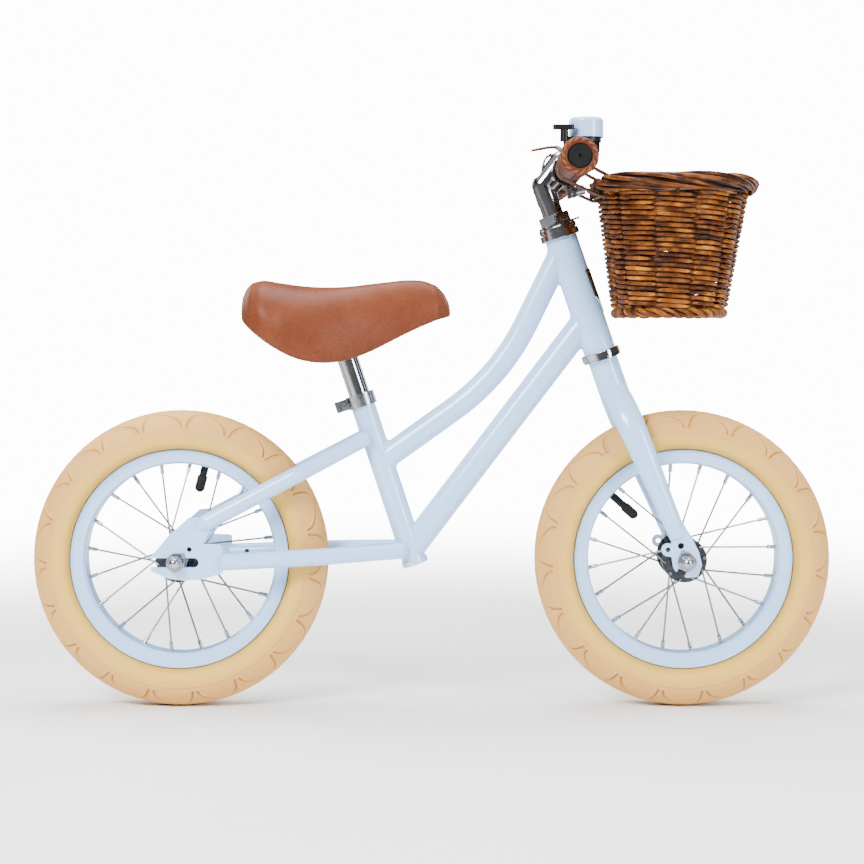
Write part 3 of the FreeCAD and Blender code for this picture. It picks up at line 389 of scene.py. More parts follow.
def wicker_material():
    """Stained, varnished willow: each rod has its own tone, with streaks along it, and painted shade
    darkens the crevices between rods.
    """
    n = Nodes("stained_willow")
    rod = n.new("ShaderNodeAttribute", attribute_name="rod").outputs["Vector"]
    split = n.new("ShaderNodeSeparateXYZ")
    n.link(rod, split.inputs[0])
    number = split.outputs["Z"]
    random = n.new("ShaderNodeTexWhiteNoise", noise_dimensions="1D")
    n.link(number, random.inputs["W"])
    stretch = n.new("ShaderNodeMapping")
    stretch.inputs["Scale"].default_value = (15.0, 0.9, 3.1)
    n.link(rod, stretch.inputs["Vector"])
    streak = n.noise(2.2, 5.0, 0.62, stretch.outputs["Vector"])
    where = n.coords()
    patch = n.noise(26.0, 3.0, 0.6, where)
    own_tone = n.math("MULTIPLY", random.outputs["Value"], 0.13)
    tone = n.math("ADD", n.math("MULTIPLY", streak, 0.80), own_tone)
    tone = n.math("ADD", tone, n.math("MULTIPLY", patch, 0.20))
    colour = n.ramp(tone, [(0.38, (0.008, 0.0024, 0.0012)), (0.50, (0.045, 0.0110, 0.0020)),
                           (0.62, (0.200, 0.058, 0.0080)), (0.76, (0.560, 0.225, 0.0290))])
    # Painted shade: the rod attribute's middle value darkens rods lying in the weave's crevices, where
    # little light reaches.
    painted_crevices_shade = n.ramp(split.outputs["Y"], [(0.0, (0.13, 0.10, 0.09)), (0.45, (0.60, 0.54, 0.50)),
                                          (0.9, (1, 1, 1))])
    colour = n.mix(1.0, colour, painted_crevices_shade, "MULTIPLY")
    fibre = n.noise(8.0, 3.0, 0.6, stretch.outputs["Vector"])
    normal = n.bump(fibre, 0.35, 0.0006)
    return n.finish(colour, n.span(streak, 0.34, 0.55), normal, Coat_Weight=0.05, Coat_Roughness=0.14,
                    Specular_IOR_Level=0.14)


def plastic_material(name, tone, low, high):
    """Black moulded plastic or rubber with a fine spark-eroded texture."""
    n = Nodes(name)
    where = n.coords()
    grain = n.noise(1500.0, 3.0, 0.6, where)
    cloud = n.noise(40.0, 3.0, 0.5, where)
    colour = n.ramp(cloud, [(0.3, tuple(c * 0.7 for c in tone)), (0.7, tuple(c * 1.4 for c in tone))])
    normal = n.bump(grain, 0.12, 0.0002)
    return n.finish(colour, n.span(cloud, low, high), normal, Specular_IOR_Level=0.25)


def floor_material():
    """Pale matt floor that fades into the backdrop away from the object."""
    n = Nodes("pale_floor")
    where = n.coords()
    cloud = n.noise(1.5, 2.0, 0.5, where)
    length = n.new("ShaderNodeVectorMath", operation="LENGTH")
    n.link(where, length.inputs[0])
    fade = n.new("ShaderNodeMapRange", interpolation_type="SMOOTHSTEP")
    fade.inputs["From Min"].default_value = 0.6
    fade.inputs["From Max"].default_value = 2.2
    fade.inputs["To Min"].default_value = 1.0
    fade.inputs["To Max"].default_value = 0.0
    n.link(length.outputs["Value"], fade.inputs["Value"])
    n.link(fade.outputs["Result"], n.shader.inputs["Alpha"])
    return n.finish(n.ramp(cloud, [(0.3, (0.90, 0.90, 0.90)), (0.7, (0.93, 0.93, 0.93))]), 0.75)


PAINT = paint_material("pale_blue_enamel", (0.405, 0.640, 0.985))
CHROME = chrome_material()
STEEL = steel_material("zinc_steel", (0.22, 0.24, 0.27), (0.46, 0.48, 0.52), 0.18, 0.36)
SPOKE_STEEL = steel_material("spoke_steel", (0.12, 0.135, 0.16), (0.26, 0.28, 0.32), 0.22, 0.38)
HUB_METAL = steel_material("dark_plated_hub", (0.030, 0.031, 0.034), (0.085, 0.088, 0.095), 0.28, 0.45)
TYRE = tyre_material()
SADDLE_HIDE = leather_material("saddle_hide", (0.105, 0.0275, 0.0120), (0.138, 0.0370, 0.0160),
                               (0.170, 0.0480, 0.0220), shine=0.09, rough=0.34)
GRIP_HIDE = leather_material("grip_hide", (0.050, 0.013, 0.006), (0.090, 0.024, 0.010),
                             (0.140, 0.042, 0.018), 700.0)
STRAP_HIDE = leather_material("strap_hide", (0.050, 0.015, 0.008), (0.090, 0.030, 0.016),
                              (0.160, 0.060, 0.034), 600.0)
BRAID_HIDE = leather_material("braid_hide", (0.120, 0.026, 0.006), (0.260, 0.068, 0.012),
                              (0.420, 0.130, 0.022), 900.0)
THREAD = leather_material("waxed_thread", (0.040, 0.012, 0.006), (0.070, 0.020, 0.010),
                          (0.100, 0.034, 0.016), 900.0)
WICKER = wicker_material()
BLACK_PLASTIC = plastic_material("black_plastic", (0.0042, 0.0042, 0.0048), 0.32, 0.48)
BLACK_RUBBER = plastic_material("black_rubber", (0.0045, 0.0045, 0.0045), 0.55, 0.72)

CAD_MATERIALS = {
    PAINT: ("head_tube", "top_tube", "down_tube", "seat_tube", "seat_stays", "chain_stays",
            "rear_dropouts", "fork_legs", "fork_dropouts", "front_rim", "rear_rim", "bell_dome"),
    CHROME: ("upper_headset_cup", "lower_headset_cup", "crown_race", "adjusting_race", "headset_washer",
             "headset_locknut", "stem", "handlebar", "seat_post", "strap_buckles", "head_badge"),
    STEEL: ("headset_balls", "seat_clamp_bolt", "rear_axle", "rear_axle_nuts", "rear_tab_washers",
            "rear_cones", "steerer_tube", "front_axle", "front_axle_nuts", "front_tab_washers",
            "front_cones", "stem_bolts", "stem_wedge", "seat_clamp", "front_hub_balls",
            "rear_hub_balls", "saddle_clamp", "front_nipples", "rear_nipples"),
    SPOKE_STEEL: ("front_spokes", "rear_spokes"),
    HUB_METAL: ("front_hub", "rear_hub"),
    BLACK_RUBBER: ("front_inner_tube", "rear_inner_tube", "front_valve_cap", "rear_valve_cap"),
    BLACK_PLASTIC: ("grip_plugs", "bell_base", "bell_lever", "saddle_base"),
}


def dress_cad_nodes():
    """Gives every carried-over CAD node its material."""
    for material, names in CAD_MATERIALS.items():
        for name in names:
            mesh = NODES[name].data
            mesh.materials.clear()
            mesh.materials.append(material)


# ---- tyres (section sizes in mm) -----------------------------------------------------
TYRE_R = 155.0
TYRE_SECTION_R = 28.0
TYRE_MID = TYRE_R - TYRE_SECTION_R
WAVES = 19
STEPS_PER_WAVE = 60
BEAD_R = 112.0
SIDEWALL_BAND = 26.0
TREAD_LEAN = 10.5
WAVE_CURVE = ((0.10, 138.0), (0.115, 141.5), (0.15, 146.2), (0.21, 149.8), (0.30, 152.0), (0.45, 152.0),
              (0.60, 150.7), (0.74, 148.8), (0.86, 146.3), (0.94, 143.6), (0.975, 140.8), (0.99, 138.4))


def tyre_profile():
    """Outer half section from the crown to the bead: (radius, depth across, length along it)."""
    crown = np.radians(np.concatenate([np.linspace(0, 24, 14), np.linspace(25.5, 84, 36),
                                       np.linspace(87, 90, 2)]))
    points = [(TYRE_MID + TYRE_SECTION_R * math.cos(a), TYRE_SECTION_R * math.sin(a)) for a in crown]
    for t in np.linspace(0, 1, 12)[1:]:
        points.append(((1 - t) ** 2 * TYRE_MID + 2 * t * (1 - t) * 115.6 + t * t * 114.9,
                       (1 - t) ** 2 * TYRE_SECTION_R + 2 * t * (1 - t) * 27.4 + t * t * 15.6))
    return np.array(points)


def lean_of(radius):
    """Distance in mm over the tyre's round side from the crown to a given radius."""
    return TYRE_SECTION_R * np.arccos(np.clip((radius - TYRE_MID) / TYRE_SECTION_R, -1, 1))


def wave_height(phase, lean):
    """One scallop: how much each point is groove (0 to 1), and its height in mm with a lip inside."""
    pitch = FULL_TURN * 146.0 / WAVES
    curve = np.array(WAVE_CURVE)
    t = np.linspace(0, len(curve) - 1, 150)
    x = np.interp(t, range(len(curve)), curve[:, 0]) * pitch
    y = lean_of(np.interp(t, range(len(curve)), curve[:, 1]))
    near = np.full(phase.shape, 1e3)
    side = np.zeros(phase.shape)
    for shift in (-pitch, 0, pitch):
        for px, py in zip(x + shift, y):
            gap = np.hypot(phase * pitch - px, lean - py)
            closer = gap < near
            near = np.where(closer, gap, near)
            side = np.where(closer, np.sign(lean - py), side)
    groove = np.exp(-(near / 0.8) ** 2)
    lip = np.exp(-((near - 2.0) / 0.9) ** 2)
    return groove, -1.8 * groove + 1.05 * lip * (side > 0)


def build_tyre(name, node, body, centre, turn):
    """A cream tyre with scallops on both shoulders, lines and sipes on the crown; turn starts it."""
    half = tyre_profile()
    inside = np.array([(112.4, 14.4), (103.4, 13.6), (103.4, 11.0), (113.0, 11.6), (118.0, 21.0),
                       (127.0, 24.2), (138.0, 21.0), (146.0, 13.0), (149.3, 0.0)])
    right = np.concatenate([half, inside])
    left = right[1:-1][::-1] * [1, -1]
    section = np.concatenate([right, left])
    outer = np.zeros(len(section), bool)
    outer[:len(half)] = True
    outer[-(len(half) - 1):] = True
    outward = np.stack([section[:, 0] - TYRE_MID, section[:, 1]], 1)
    outward /= np.linalg.norm(outward, axis=1)[:, None]
    steps = WAVES * STEPS_PER_WAVE
    phase = (np.arange(STEPS_PER_WAVE) / STEPS_PER_WAVE)[:, None]
    lean = TYRE_SECTION_R * np.arctan2(np.abs(section[:, 1]), section[:, 0] - TYRE_MID)[None, :]
    groove, height = wave_height(np.broadcast_to(phase, (STEPS_PER_WAVE, len(section))),
                                 np.broadcast_to(lean, (STEPS_PER_WAVE, len(section))))
    tread = lean < TREAD_LEAN
    rings = 0.95 * np.exp(-((lean - 38.6) / 0.7) ** 2) + 0.35 * np.exp(-((lean - 41.6) / 0.6) ** 2)
    rings = rings + 0.35 * np.exp(-((lean - 57.0) / 1.2) ** 2)
    lines = np.exp(-((lean - 3.4) / 0.6) ** 2) + np.exp(-((lean - 8.0) / 0.6) ** 2)
    sipe_phase = (phase * 4 + lean / 11.5) % 1.0
    sipe = np.exp(-((sipe_phase - 0.5) * 9.0) ** 2) * tread
    height = (height + rings - 0.9 * lines - 0.7 * sipe) * outer[None, :]
    height = np.tile(height, (WAVES, 1))
    theta = turn - np.arange(steps) / steps * FULL_TURN
    r = section[None, :, 0] + height * outward[None, :, 0]
    y = section[None, :, 1] + height * outward[None, :, 1]
    x = centre.x + r * MM * np.cos(theta)[:, None]
    z = centre.z + r * MM * np.sin(theta)[:, None]
    verts = np.stack([x, y * MM, z], 2).reshape(-1, 3)
    band_and_groove_shade = np.zeros((steps, len(section), 3))
    band_and_groove_shade[:, :, 1] = np.clip((section[:, 0] - BEAD_R) / SIDEWALL_BAND, 0, 1)[None, :]
    # The third value is painted shade for the grooves, sipes and lines; the second is the distance out
    # from the rim.
    band_and_groove_shade[:, :, 2] = np.tile(np.clip(groove + 0.5 * sipe + 0.6 * lines, 0, 1) * 0.9, (WAVES, 1))
    faces = grid_faces(steps, len(section), wrap_rows=True)
    obj = mesh_object(name, verts, faces, TYRE, True, band_and_groove_shade.reshape(-1, 3))
    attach(obj, body)
    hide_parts(node)


# ---- weld fillets --------------------------------------------------------------------
SEAT_TOP = Vector((-0.0754, 0, 0.3250))
SEAT_LOW = Vector((-0.0168, 0, 0.1479))
SEAT_UP = (SEAT_TOP - SEAT_LOW).normalized()
SEAT_R = 0.0127
TOP_TUBE_R = 0.0127
DOWN_TUBE_R = 0.014
SKIN = 0.0002


def fillet(builder, start, along, tube_r, target_point, target_axis, target_r, size):
    """A concave bead where a round tube meets another round tube's side."""
    along = Vector(along).normalized()
    target_axis = Vector(target_axis).normalized()
    side = along.orthogonal().normalized()
    other = along.cross(side)
    steps = 72
    rows = []
    for i in range(steps):
        angle = FULL_TURN * i / steps
        spoke = side * math.cos(angle) + other * math.sin(angle)
        origin = Vector(start) + spoke * tube_r - target_point
        flat_o = origin - target_axis * origin.dot(target_axis)
        flat_d = along - target_axis * along.dot(target_axis)
        a = flat_d.dot(flat_d)
        b = 2 * flat_o.dot(flat_d)
        c = flat_o.dot(flat_o) - target_r ** 2
        inside = max(b * b - 4 * a * c, 0.0)
        hit = (-b - math.sqrt(inside)) / (2 * a)
        point = origin + along * hit
        on_axis = target_axis * point.dot(target_axis)
        out = (point - on_axis).normalized()
        spread = spoke - out * spoke.dot(out)
        if spread.length < 1e-5:
            spread = target_axis
        spread.normalize()
        toward = point + spread * size
        radial = toward - target_axis * toward.dot(target_axis)
        low = target_axis * toward.dot(target_axis) + radial.normalized() * (target_r - SKIN)
        high = point - along * size - spoke * SKIN
        mid = point + out * SKIN
        row = []
        for t in np.linspace(0, 1, 7):
            row.append((1 - t) ** 2 * low + 2 * t * (1 - t) * mid + t * t * high + target_point)
        row.append(point + target_point - out * 0.001 - spoke * 0.001)
        rows.append(row)
    verts = np.array([[tuple(p) for p in row] for row in rows]).reshape(-1, 3)
    builder.add(verts, grid_faces(steps, 8, wrap_rows=True, wrap_cols=True))


def build_welds():
    """Smooth painted fillets at the frame's tube joints."""
    builder = Builder()
    top_high = Vector((0.146, 0, 0.496))
    top_corner = Vector((0.0728, 0, 0.3462))
    top_low = Vector((-0.066, 0, 0.247))
    down_low = Vector((-0.022, 0, 0.1637))
    down_high = Vector((0.1647, 0, 0.4079))
    steep = top_high - top_corner
    shallow = top_low - top_corner
    down = down_high - down_low
    joints = (
        (top_high - steep.normalized() * 0.07, steep, TOP_TUBE_R, HEAD_TOP, STEER_UP, HEAD_R, 0.006),
        (down_high - down.normalized() * 0.08, down, DOWN_TUBE_R, HEAD_TOP, STEER_UP, HEAD_R, 0.005),
        (top_low - shallow.normalized() * 0.07, shallow, TOP_TUBE_R, SEAT_LOW, SEAT_UP, SEAT_R, 0.0045),
    )
    for joint in joints:
        fillet(builder, *joint)
    welds = builder.build("frame_weld_fillets", PAINT)
    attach(welds, "frame")


# ---- basket: plans are (back, front, half width) in mm --------------------------------
BASKET_BOTTOM_PLAN = (195.0, 307.5, 94.0)
BASKET_TOP_PLAN = (178.0, 333.0, 115.0)
WALL_INSET = 4.0
STAKES = 14
WEAVE_ROWS = 46
WEAVE_LOW = 0.4185
WEAVE_HIGH = 0.5325
RAIL_Z = 0.5435
RAIL_OFFSET = 5.5
FOOT_Z = 0.4118
FOOT_OFFSET = 0.6
FOOT_REACH = 2.9
FLOOR_Z = 0.4125
SWING = 3.3
PLAN_LOW = 0.407
PLAN_HIGH = 0.545


def plan_points(plan, inset):
    """Points round a rounded D, from the middle of its back."""
    back, front, half = plan
    back += inset
    front -= inset
    half -= inset
    length = front - back
    side = [(back, 0.0), (back + 0.012 * length, 0.60 * half), (back + 0.15 * length, 0.94 * half),
            (back + 0.42 * length, half), (back + 0.70 * length, 0.88 * half),
            (back + 0.91 * length, 0.52 * half), (front, 0.0)]
    return np.array(side + [(x, -y) for x, y in side[-2:0:-1]])


def periodic_spline(points):
    """A closed cubic curve through points, as a function of 0..1 by length."""
    n = len(points)
    steps = np.linalg.norm(np.roll(points, -1, 0) - points, axis=1)
    knots = np.concatenate([[0], np.cumsum(steps)])
    total = knots[-1]
    system = np.zeros((n, n))
    right = np.zeros((n, 2))
    for i in range(n):
        before, after = steps[i - 1], steps[i]
        system[i, i - 1] += before
        system[i, i] += 2 * (before + after)
        system[i, (i + 1) % n] += after
        ahead = (points[(i + 1) % n] - points[i]) / after
        behind = (points[i] - points[i - 1]) / before
        right[i] = 6 * (ahead - behind)
    second = np.linalg.solve(system, right)

    def raw(s):
        s = np.mod(s, total)
        i = np.clip(np.searchsorted(knots, s, side="right") - 1, 0, n - 1)
        h = steps[i][:, None]
        a = ((knots[i + 1] - s)[:, None]) / h
        b = 1 - a
        j = (i + 1) % n
        bend = (a ** 3 - a) * second[i] + (b ** 3 - b) * second[j]
        return a * points[i] + b * points[j] + bend * h ** 2 / 6

    dense = np.linspace(0, total, 1441)
    line = raw(dense)
    lengths = np.concatenate([[0], np.cumsum(np.linalg.norm(np.diff(line, axis=0), axis=1))])

    def value(u):
        return raw(np.interp(np.mod(u, 1.0) * lengths[-1], lengths, dense))

    return value


BOTTOM_CURVE = periodic_spline(plan_points(BASKET_BOTTOM_PLAN, WALL_INSET))
TOP_CURVE = periodic_spline(plan_points(BASKET_TOP_PLAN, WALL_INSET))


def wall_point(u, z, offset=0.0):
    """Points of the basket's wall at 0..1 round it, at height z (m), pushed outward by offset (mm)."""
    u = np.asarray(u, float)
    t = (np.asarray(z, float) - PLAN_LOW) / (PLAN_HIGH - PLAN_LOW)
    t = np.broadcast_to(t, u.shape)[:, None]

    def at(v):
        return BOTTOM_CURVE(v) * (1 - t) + TOP_CURVE(v) * t

    here = at(u)
    ahead = at(u + 0.001) - at(u - 0.001)
    ahead /= np.linalg.norm(ahead, axis=1)[:, None]
    out = np.stack([-ahead[:, 1], ahead[:, 0]], 1)
    spot = here + out * np.broadcast_to(np.asarray(offset, float), u.shape)[:, None]
    return np.concatenate([spot * MM, np.broadcast_to(np.asarray(z, float), u.shape)[:, None]], 1)


def with_painted_crevices_shade(parts, centre, low, high, flat=False):
    """Rod parts whose middle attribute value, painted shade in the wicker material, is 0 in crevices
    (low mm from a centre line), 1 outside.
    """
    verts, faces, rods = parts
    away = verts.reshape(len(centre), -1, 3) - centre[:, None, :]
    if flat:
        away = away[:, :, :2]
    distance = np.linalg.norm(away, axis=2).ravel() / MM
    rods[:, 1] = np.clip((distance - low) / (high - low), 0, 1)
    return verts, faces, rods


def with_even_painted_shade(parts, value):
    """Rod parts with one painted-shade value all over."""
    verts, faces, rods = parts
    rods[:, 1] = value
    return verts, faces, rods


def build_basket():
    """Willow tub: upright stakes, single-rod weaving, twisted rail and plaited foot."""
    builder = Builder()
    number = 1.0
    for k in range(STAKES):
        u = (k + 0.5) / STAKES
        heights = np.linspace(0.411, 0.541, 26)
        wobble = 0.3 * np.sin(heights * 90 + k * 1.7) + 4.5 * np.clip((heights - 0.527) / 0.012, 0, 1)
        line = wall_point(np.full(26, u), heights, wobble)
        # Stakes sit behind the weaving, so they get a middle amount of painted shade.
        builder.add(*with_even_painted_shade(tube(line, 0.0021, 8, number=number), 0.45))
        number += 1.0
    per_bay = 14
    count = STAKES * per_bay
    u = np.arange(count) / count
    for row in range(WEAVE_ROWS):
        base = WEAVE_LOW + (WEAVE_HIGH - WEAVE_LOW) * row / (WEAVE_ROWS - 1)
        swing = np.cos(math.pi * (STAKES * u - 0.5) + math.pi * row)
        wave = np.sign(swing) * np.abs(swing) ** 0.7
        shifts = RANDOM.random(3)
        drift = 0.32 * np.sin(FULL_TURN * (u * 5 + shifts[0]))
        drift = drift + 0.20 * np.sin(FULL_TURN * (u * 11 + shifts[1]))
        slope = 0.85 * np.sin(math.pi * (STAKES * u - 0.5) + math.pi * row)
        thick = 1.86 + 0.24 * np.abs(swing) + 0.16 * np.sin(FULL_TURN * (u * 3 + shifts[2]))
        line = wall_point(u, base + MM * (drift + slope), SWING * wave)
        willow = tube(line, thick * MM, 8, closed=True, number=number + 0.37 * row)
        # Painted shade: rows are darker where they cross the wall's middle surface, in the crevices of
        # the weave.
        builder.add(*with_painted_crevices_shade(willow, wall_point(u, base), 0.3, 3.9, flat=True))
        number += 1.0
    number = add_rail(builder, number)
    number = add_foot(builder, number)
    add_base(builder, number)
    basket = builder.build("woven_basket", WICKER)
    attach(basket, "cockpit")
    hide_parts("basket")


def add_rail(builder, number):
    """Thick rim: rods laid round each other in a long twist."""
    count = 480
    u = np.arange(count) / count
    strands = 10
    turns = 2
    core = wall_point(u, RAIL_Z, RAIL_OFFSET)
    for k in range(strands):
        angle = FULL_TURN * (turns * u + k / strands) + 0.25 * np.sin(FULL_TURN * (3 * u + k * 0.37))
        reach = 6.7 + 0.5 * np.sin(FULL_TURN * (2 * u + k * 0.73))
        line = wall_point(u, RAIL_Z + MM * reach * np.sin(angle), RAIL_OFFSET + reach * np.cos(angle))
        thick = 2.20 + 0.30 * np.sin(FULL_TURN * (2 * u + k * 0.61))
        willow = tube(line, thick * MM, 10, closed=True, number=number)
        # Painted shade: rail strands are darker on their sides turned toward the core.
        builder.add(*with_painted_crevices_shade(willow, core, 6.4, 8.6))
        number += 1.0
    # The hidden core gets full painted shade.
    builder.add(*with_even_painted_shade(tube(core, 0.0054, 10, closed=True, number=number), 0.0))
    return number + 1.0


def add_foot(builder, number):
    """Plaited border round the base."""
    count = 432
    u = np.arange(count) / count
    strands = 3
    turns = 12
    for k in range(strands):
        angle = FULL_TURN * (turns * u + k / strands)
        z = FOOT_Z + MM * FOOT_REACH * np.sin(angle)
        line = wall_point(u, z, FOOT_OFFSET + FOOT_REACH * np.cos(angle))
        thick = 2.5 + 0.25 * np.sin(FULL_TURN * (5 * u + k * 0.3))
        willow = tube(line, thick * MM, 8, closed=True, number=number)
        # Painted shade: foot strands are darker on their sides turned inward, between the strands.
        builder.add(*with_painted_crevices_shade(willow, wall_point(u, FOOT_Z, FOOT_OFFSET), 2.6, 5.2))
        number += 1.0
    return number


def add_base(builder, number):
    """Flat woven floor: sticks fore and aft, rods across them."""
    outline = BOTTOM_CURVE(np.linspace(0, 1, 361))
    sticks = 7
    for k in range(sticks):
        y = -72.0 + 144.0 * k / (sticks - 1)
        near = outline[np.abs(outline[:, 1] - y) < 3.0][:, 0]
        line = [((near.min() + 2 + (near.max() - near.min() - 4) * t) * MM, y * MM, FLOOR_Z)
                for t in np.linspace(0, 1, 8)]
        # The base sticks get a light, even painted shade.
        builder.add(*with_even_painted_shade(tube(line, 0.0024, 8, number=number), 0.7))
        number += 1.0
    rows = 22
    for k in range(rows):
        x = 200.5 + (302.0 - 200.5) * k / (rows - 1)
        near = outline[np.abs(outline[:, 0] - x) < 3.0][:, 1]
        half = np.abs(near).max() - 2.5
        ys = np.linspace(-half, half, 61)
        z = FLOOR_Z + MM * 2.6 * np.cos(math.pi * (ys + 72.0) / 24.0 + math.pi * k)
        line = np.stack([np.full(61, x * MM), ys * MM, z], 1)
        # The base rows get a light, even painted shade.
        builder.add(*with_even_painted_shade(tube(line, 0.0019, 6, number=number), 0.7))
        number += 1.0


# ---- saddle: stations from tail to nose, in mm ---------------------------------------
SADDLE_X = (-198.4, -197.6, -195.0, -190.0, -180.0, -159.0, -138.0, -117.0, -86.0, -65.0, -44.0, -23.0,
            -4.0, 9.0, 16.0, 19.0, 19.8)
SADDLE_TOP = (414.0, 424.0, 433.5, 441.0, 445.5, 444.0, 441.5, 440.5, 441.8, 444.2, 446.3, 447.6, 445.0,
              437.4, 427.5, 419.0, 414.0)
SADDLE_HALF = (0.0, 22.0, 41.0, 55.0, 66.0, 72.5, 73.0, 68.0, 55.0, 46.0, 38.5, 33.0, 28.5, 23.5, 16.0,
               8.5, 0.0)
SADDLE_EDGE = (409.0, 407.5, 404.5, 399.5, 391.0, 376.5, 366.5, 362.2, 365.0, 372.5, 383.0, 393.5, 402.0,
               407.0, 409.0, 410.5, 412.0)


def build_saddle():
    """Tight padded cover whose skirts curve under a moulded pan."""
    top = smooth_curve(SADDLE_X, SADDLE_TOP)
    half = smooth_curve(SADDLE_X, SADDLE_HALF)
    edge = smooth_curve(SADDLE_X, SADDLE_EDGE)
    stations = 120
    t = (1 - np.cos(np.linspace(0, math.pi, stations))) / 2
    xs = SADDLE_X[0] + (SADDLE_X[-1] - SADDLE_X[0]) * t
    round_steps = 57
    a = np.linspace(0, math.pi, round_steps)
    cosine, sine = np.cos(a), np.sin(a)
    wide = np.sign(cosine) * np.abs(cosine) ** 0.62
    tall = np.abs(sine) ** 0.80
    rows = []
    for x in xs:
        w, zt, ze = float(half(x)), float(top(x)), float(edge(x))
        depth = zt - ze
        dish = 0.035 * depth * np.exp(-((x + 70) / 70) ** 2) * np.exp(-(wide * 2.6) ** 2)
        belly = 1.0 + 0.05 * np.sin(math.pi * np.clip(tall * 1.15, 0, 1))
        outer = [(x, w * p * q, ze + depth * h - d) for p, h, q, d in zip(wide, tall, belly, dish)]
        w_in = max(w - 6.0, w * 0.55)
        lip = [(x, -w * 0.985, ze - 0.9), (x, -w * 0.95, ze - 1.5), (x, -(w + w_in) / 2, ze - 0.7),
               (x, -w_in, ze + 1.6)]
        ceiling = [(x, -w_in * 0.98, ze + depth * 0.18), (x, -w_in * 0.55, ze + depth * 0.36),
                   (x, 0.0, ze + depth * 0.44)]
        under = lip + ceiling + [(px, -py, pz) for px, py, pz in reversed(lip + ceiling[:-1])]
        rows.append(outer + under)
    rows = np.array(rows) * MM
    cols = rows.shape[1]
    verts = rows.reshape(-1, 3)
    faces = grid_faces(stations, cols)
    ends = []
    for row, flip in ((0, True), (stations - 1, False)):
        loop = [row * cols + j for j in range(cols)]
        ends.append(tuple(reversed(loop)) if flip else tuple(loop))
    saddle = mesh_object("padded_saddle", verts, faces + ends, SADDLE_HIDE)
    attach(saddle, "seat")
    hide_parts("saddle_pad")


# ---- grips ---------------------------------------------------------------------------
GRIP_OUTER = 0.199
GRIP_INNER = 0.108
LOBES = 14
SEAM_STITCHES = 17
SEAM_R = 0.0169


def sleeve_profile(span):
    """Closed (radius, distance) outline of a sleeve, with a thick roll at its outer end."""
    profile = []
    for t in np.linspace(0, 1, 46):
        swell = 0.0162 + 0.0005 * math.sin(math.pi * t) - 0.0003 * math.cos(FULL_TURN * t * 14)
        profile.append((swell if 0.02 < t < 0.9 else 0.0160, span * t))
    roll = ((0.0168, 0.915), (0.0180, 0.94), (0.0184, 0.96), (0.0182, 0.985), (0.0172, 1.0),
            (0.0150, 1.004), (0.0128, 1.002), (0.0118, 0.995), (0.0112, 0.98), (0.0112, 0.02),
            (0.0120, 0.0), (0.0150, -0.005))
    return profile + [(radius, span * t) for radius, t in roll]


def braid_lobe(side, k):
    """Slanted leather turn k of the plaited ring round the end plug."""
    line = []
    for t in np.linspace(0, 1, 11):
        turn = FULL_TURN * k / LOBES + 0.75 * (t - 0.5)
        radius = 0.0183 - 0.0056 * t
        rise = 0.0062 * math.sin(math.pi * min(1.0, t * 1.1)) * (1 - 0.15 * t)
        depth = side * (GRIP_OUTER - 0.0052 + rise)
        line.append((BAR.x + radius * math.cos(turn), depth, BAR.z + radius * math.sin(turn)))
    width = 0.00112 * np.sin(np.linspace(0.35, math.pi - 0.35, 11)) ** 0.5
    return tube(line, width, 8, number=k)


def seam_stitch(side, start, lean, k):
    """One slanted stitch of the lacing under a sleeve."""
    line = []
    for t in np.linspace(0, 1, 5):
        angle = -math.pi / 2 + lean * 0.40 * (t - 0.5)
        line.append((BAR.x + SEAM_R * math.cos(angle), start + side * 0.0038 * t,
                     BAR.z + SEAM_R * math.sin(angle)))
    return tube(line, 0.0006, 6, number=k)


def build_grips():
    """Leather sleeves laced along the underside, with a plaited ring at the outer end."""
    sleeves = Builder()
    lacing = Builder()
    braid = Builder()
    for side in (-1, 1):
        inner = side * GRIP_INNER
        span = side * (GRIP_OUTER - GRIP_INNER)
        sleeves.add(*lathe(sleeve_profile(span), (BAR.x, inner, BAR.z), (0, 1, 0), 72, (0, 0, -1)))
        for k in range(LOBES):
            braid.add(*braid_lobe(side, k))
        for k in range(SEAM_STITCHES):
            start = inner + span * (0.04 + 0.84 * k / SEAM_STITCHES)
            for lean in (-1, 1):
                lacing.add(*seam_stitch(side, start, lean, k))
    grips = sleeves.build("leather_grips", GRIP_HIDE)
    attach(grips, "cockpit")
    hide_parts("grips")
    ring = braid.build("grip_braid", BRAID_HIDE)
    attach(ring, "cockpit")
    laces = lacing.build("grip_lacing", THREAD)
    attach(laces, "cockpit")


# ---- straps and buckles --------------------------------------------------------------
STRAP_Y = 0.046
STRAP_HALF = 0.0075
STRAP_T = 0.0024
RAIL = Vector((0.1765, 0, 0.5435))
RAIL_R = 0.0100
TAIL_T = 0.0020
TAIL_STEPS = 40
TAIL_STITCHES = 9
NEAR_TAIL = ((0.003, -0.0006), (-0.004, 0.0024), (-0.0095, 0.0068), (-0.0155, 0.0085), (-0.023, 0.0078),
             (-0.031, 0.0062), (-0.0395, 0.0048))
FAR_TAIL = ((0.003, -0.0006), (-0.004, 0.0028), (-0.0100, 0.0072), (-0.0155, 0.0080), (-0.0195, 0.0040),
            (-0.0215, -0.0020), (-0.0225, -0.0085))
BUCKLE_TILT = Matrix.Rotation(math.radians(38), 3, "Y")
BUCKLE_HALF_X = 0.0062
BUCKLE_HALF_Y = 0.0092
BUCKLE_CORNER = 0.0018


def loop_line():
    """Middle line of a strap's closed loop round the bar and the basket's rail."""
    bar_r = BAR_R + 0.00015 + STRAP_T / 2
    rail_r = RAIL_R + STRAP_T / 2
    away = RAIL - BAR
    heading = math.atan2(away.z, away.x)
    lean = math.acos((bar_r - rail_r) / away.length)
    line = []
    for angle in np.linspace(heading + lean, heading + FULL_TURN - lean, 26):
        line.append((BAR.x + bar_r * math.cos(angle), BAR.z + bar_r * math.sin(angle)))
    for angle in np.linspace(heading - lean, heading + lean, 22):
        line.append((RAIL.x + rail_r * math.cos(angle), RAIL.z + rail_r * math.sin(angle)))
    return np.array(line)


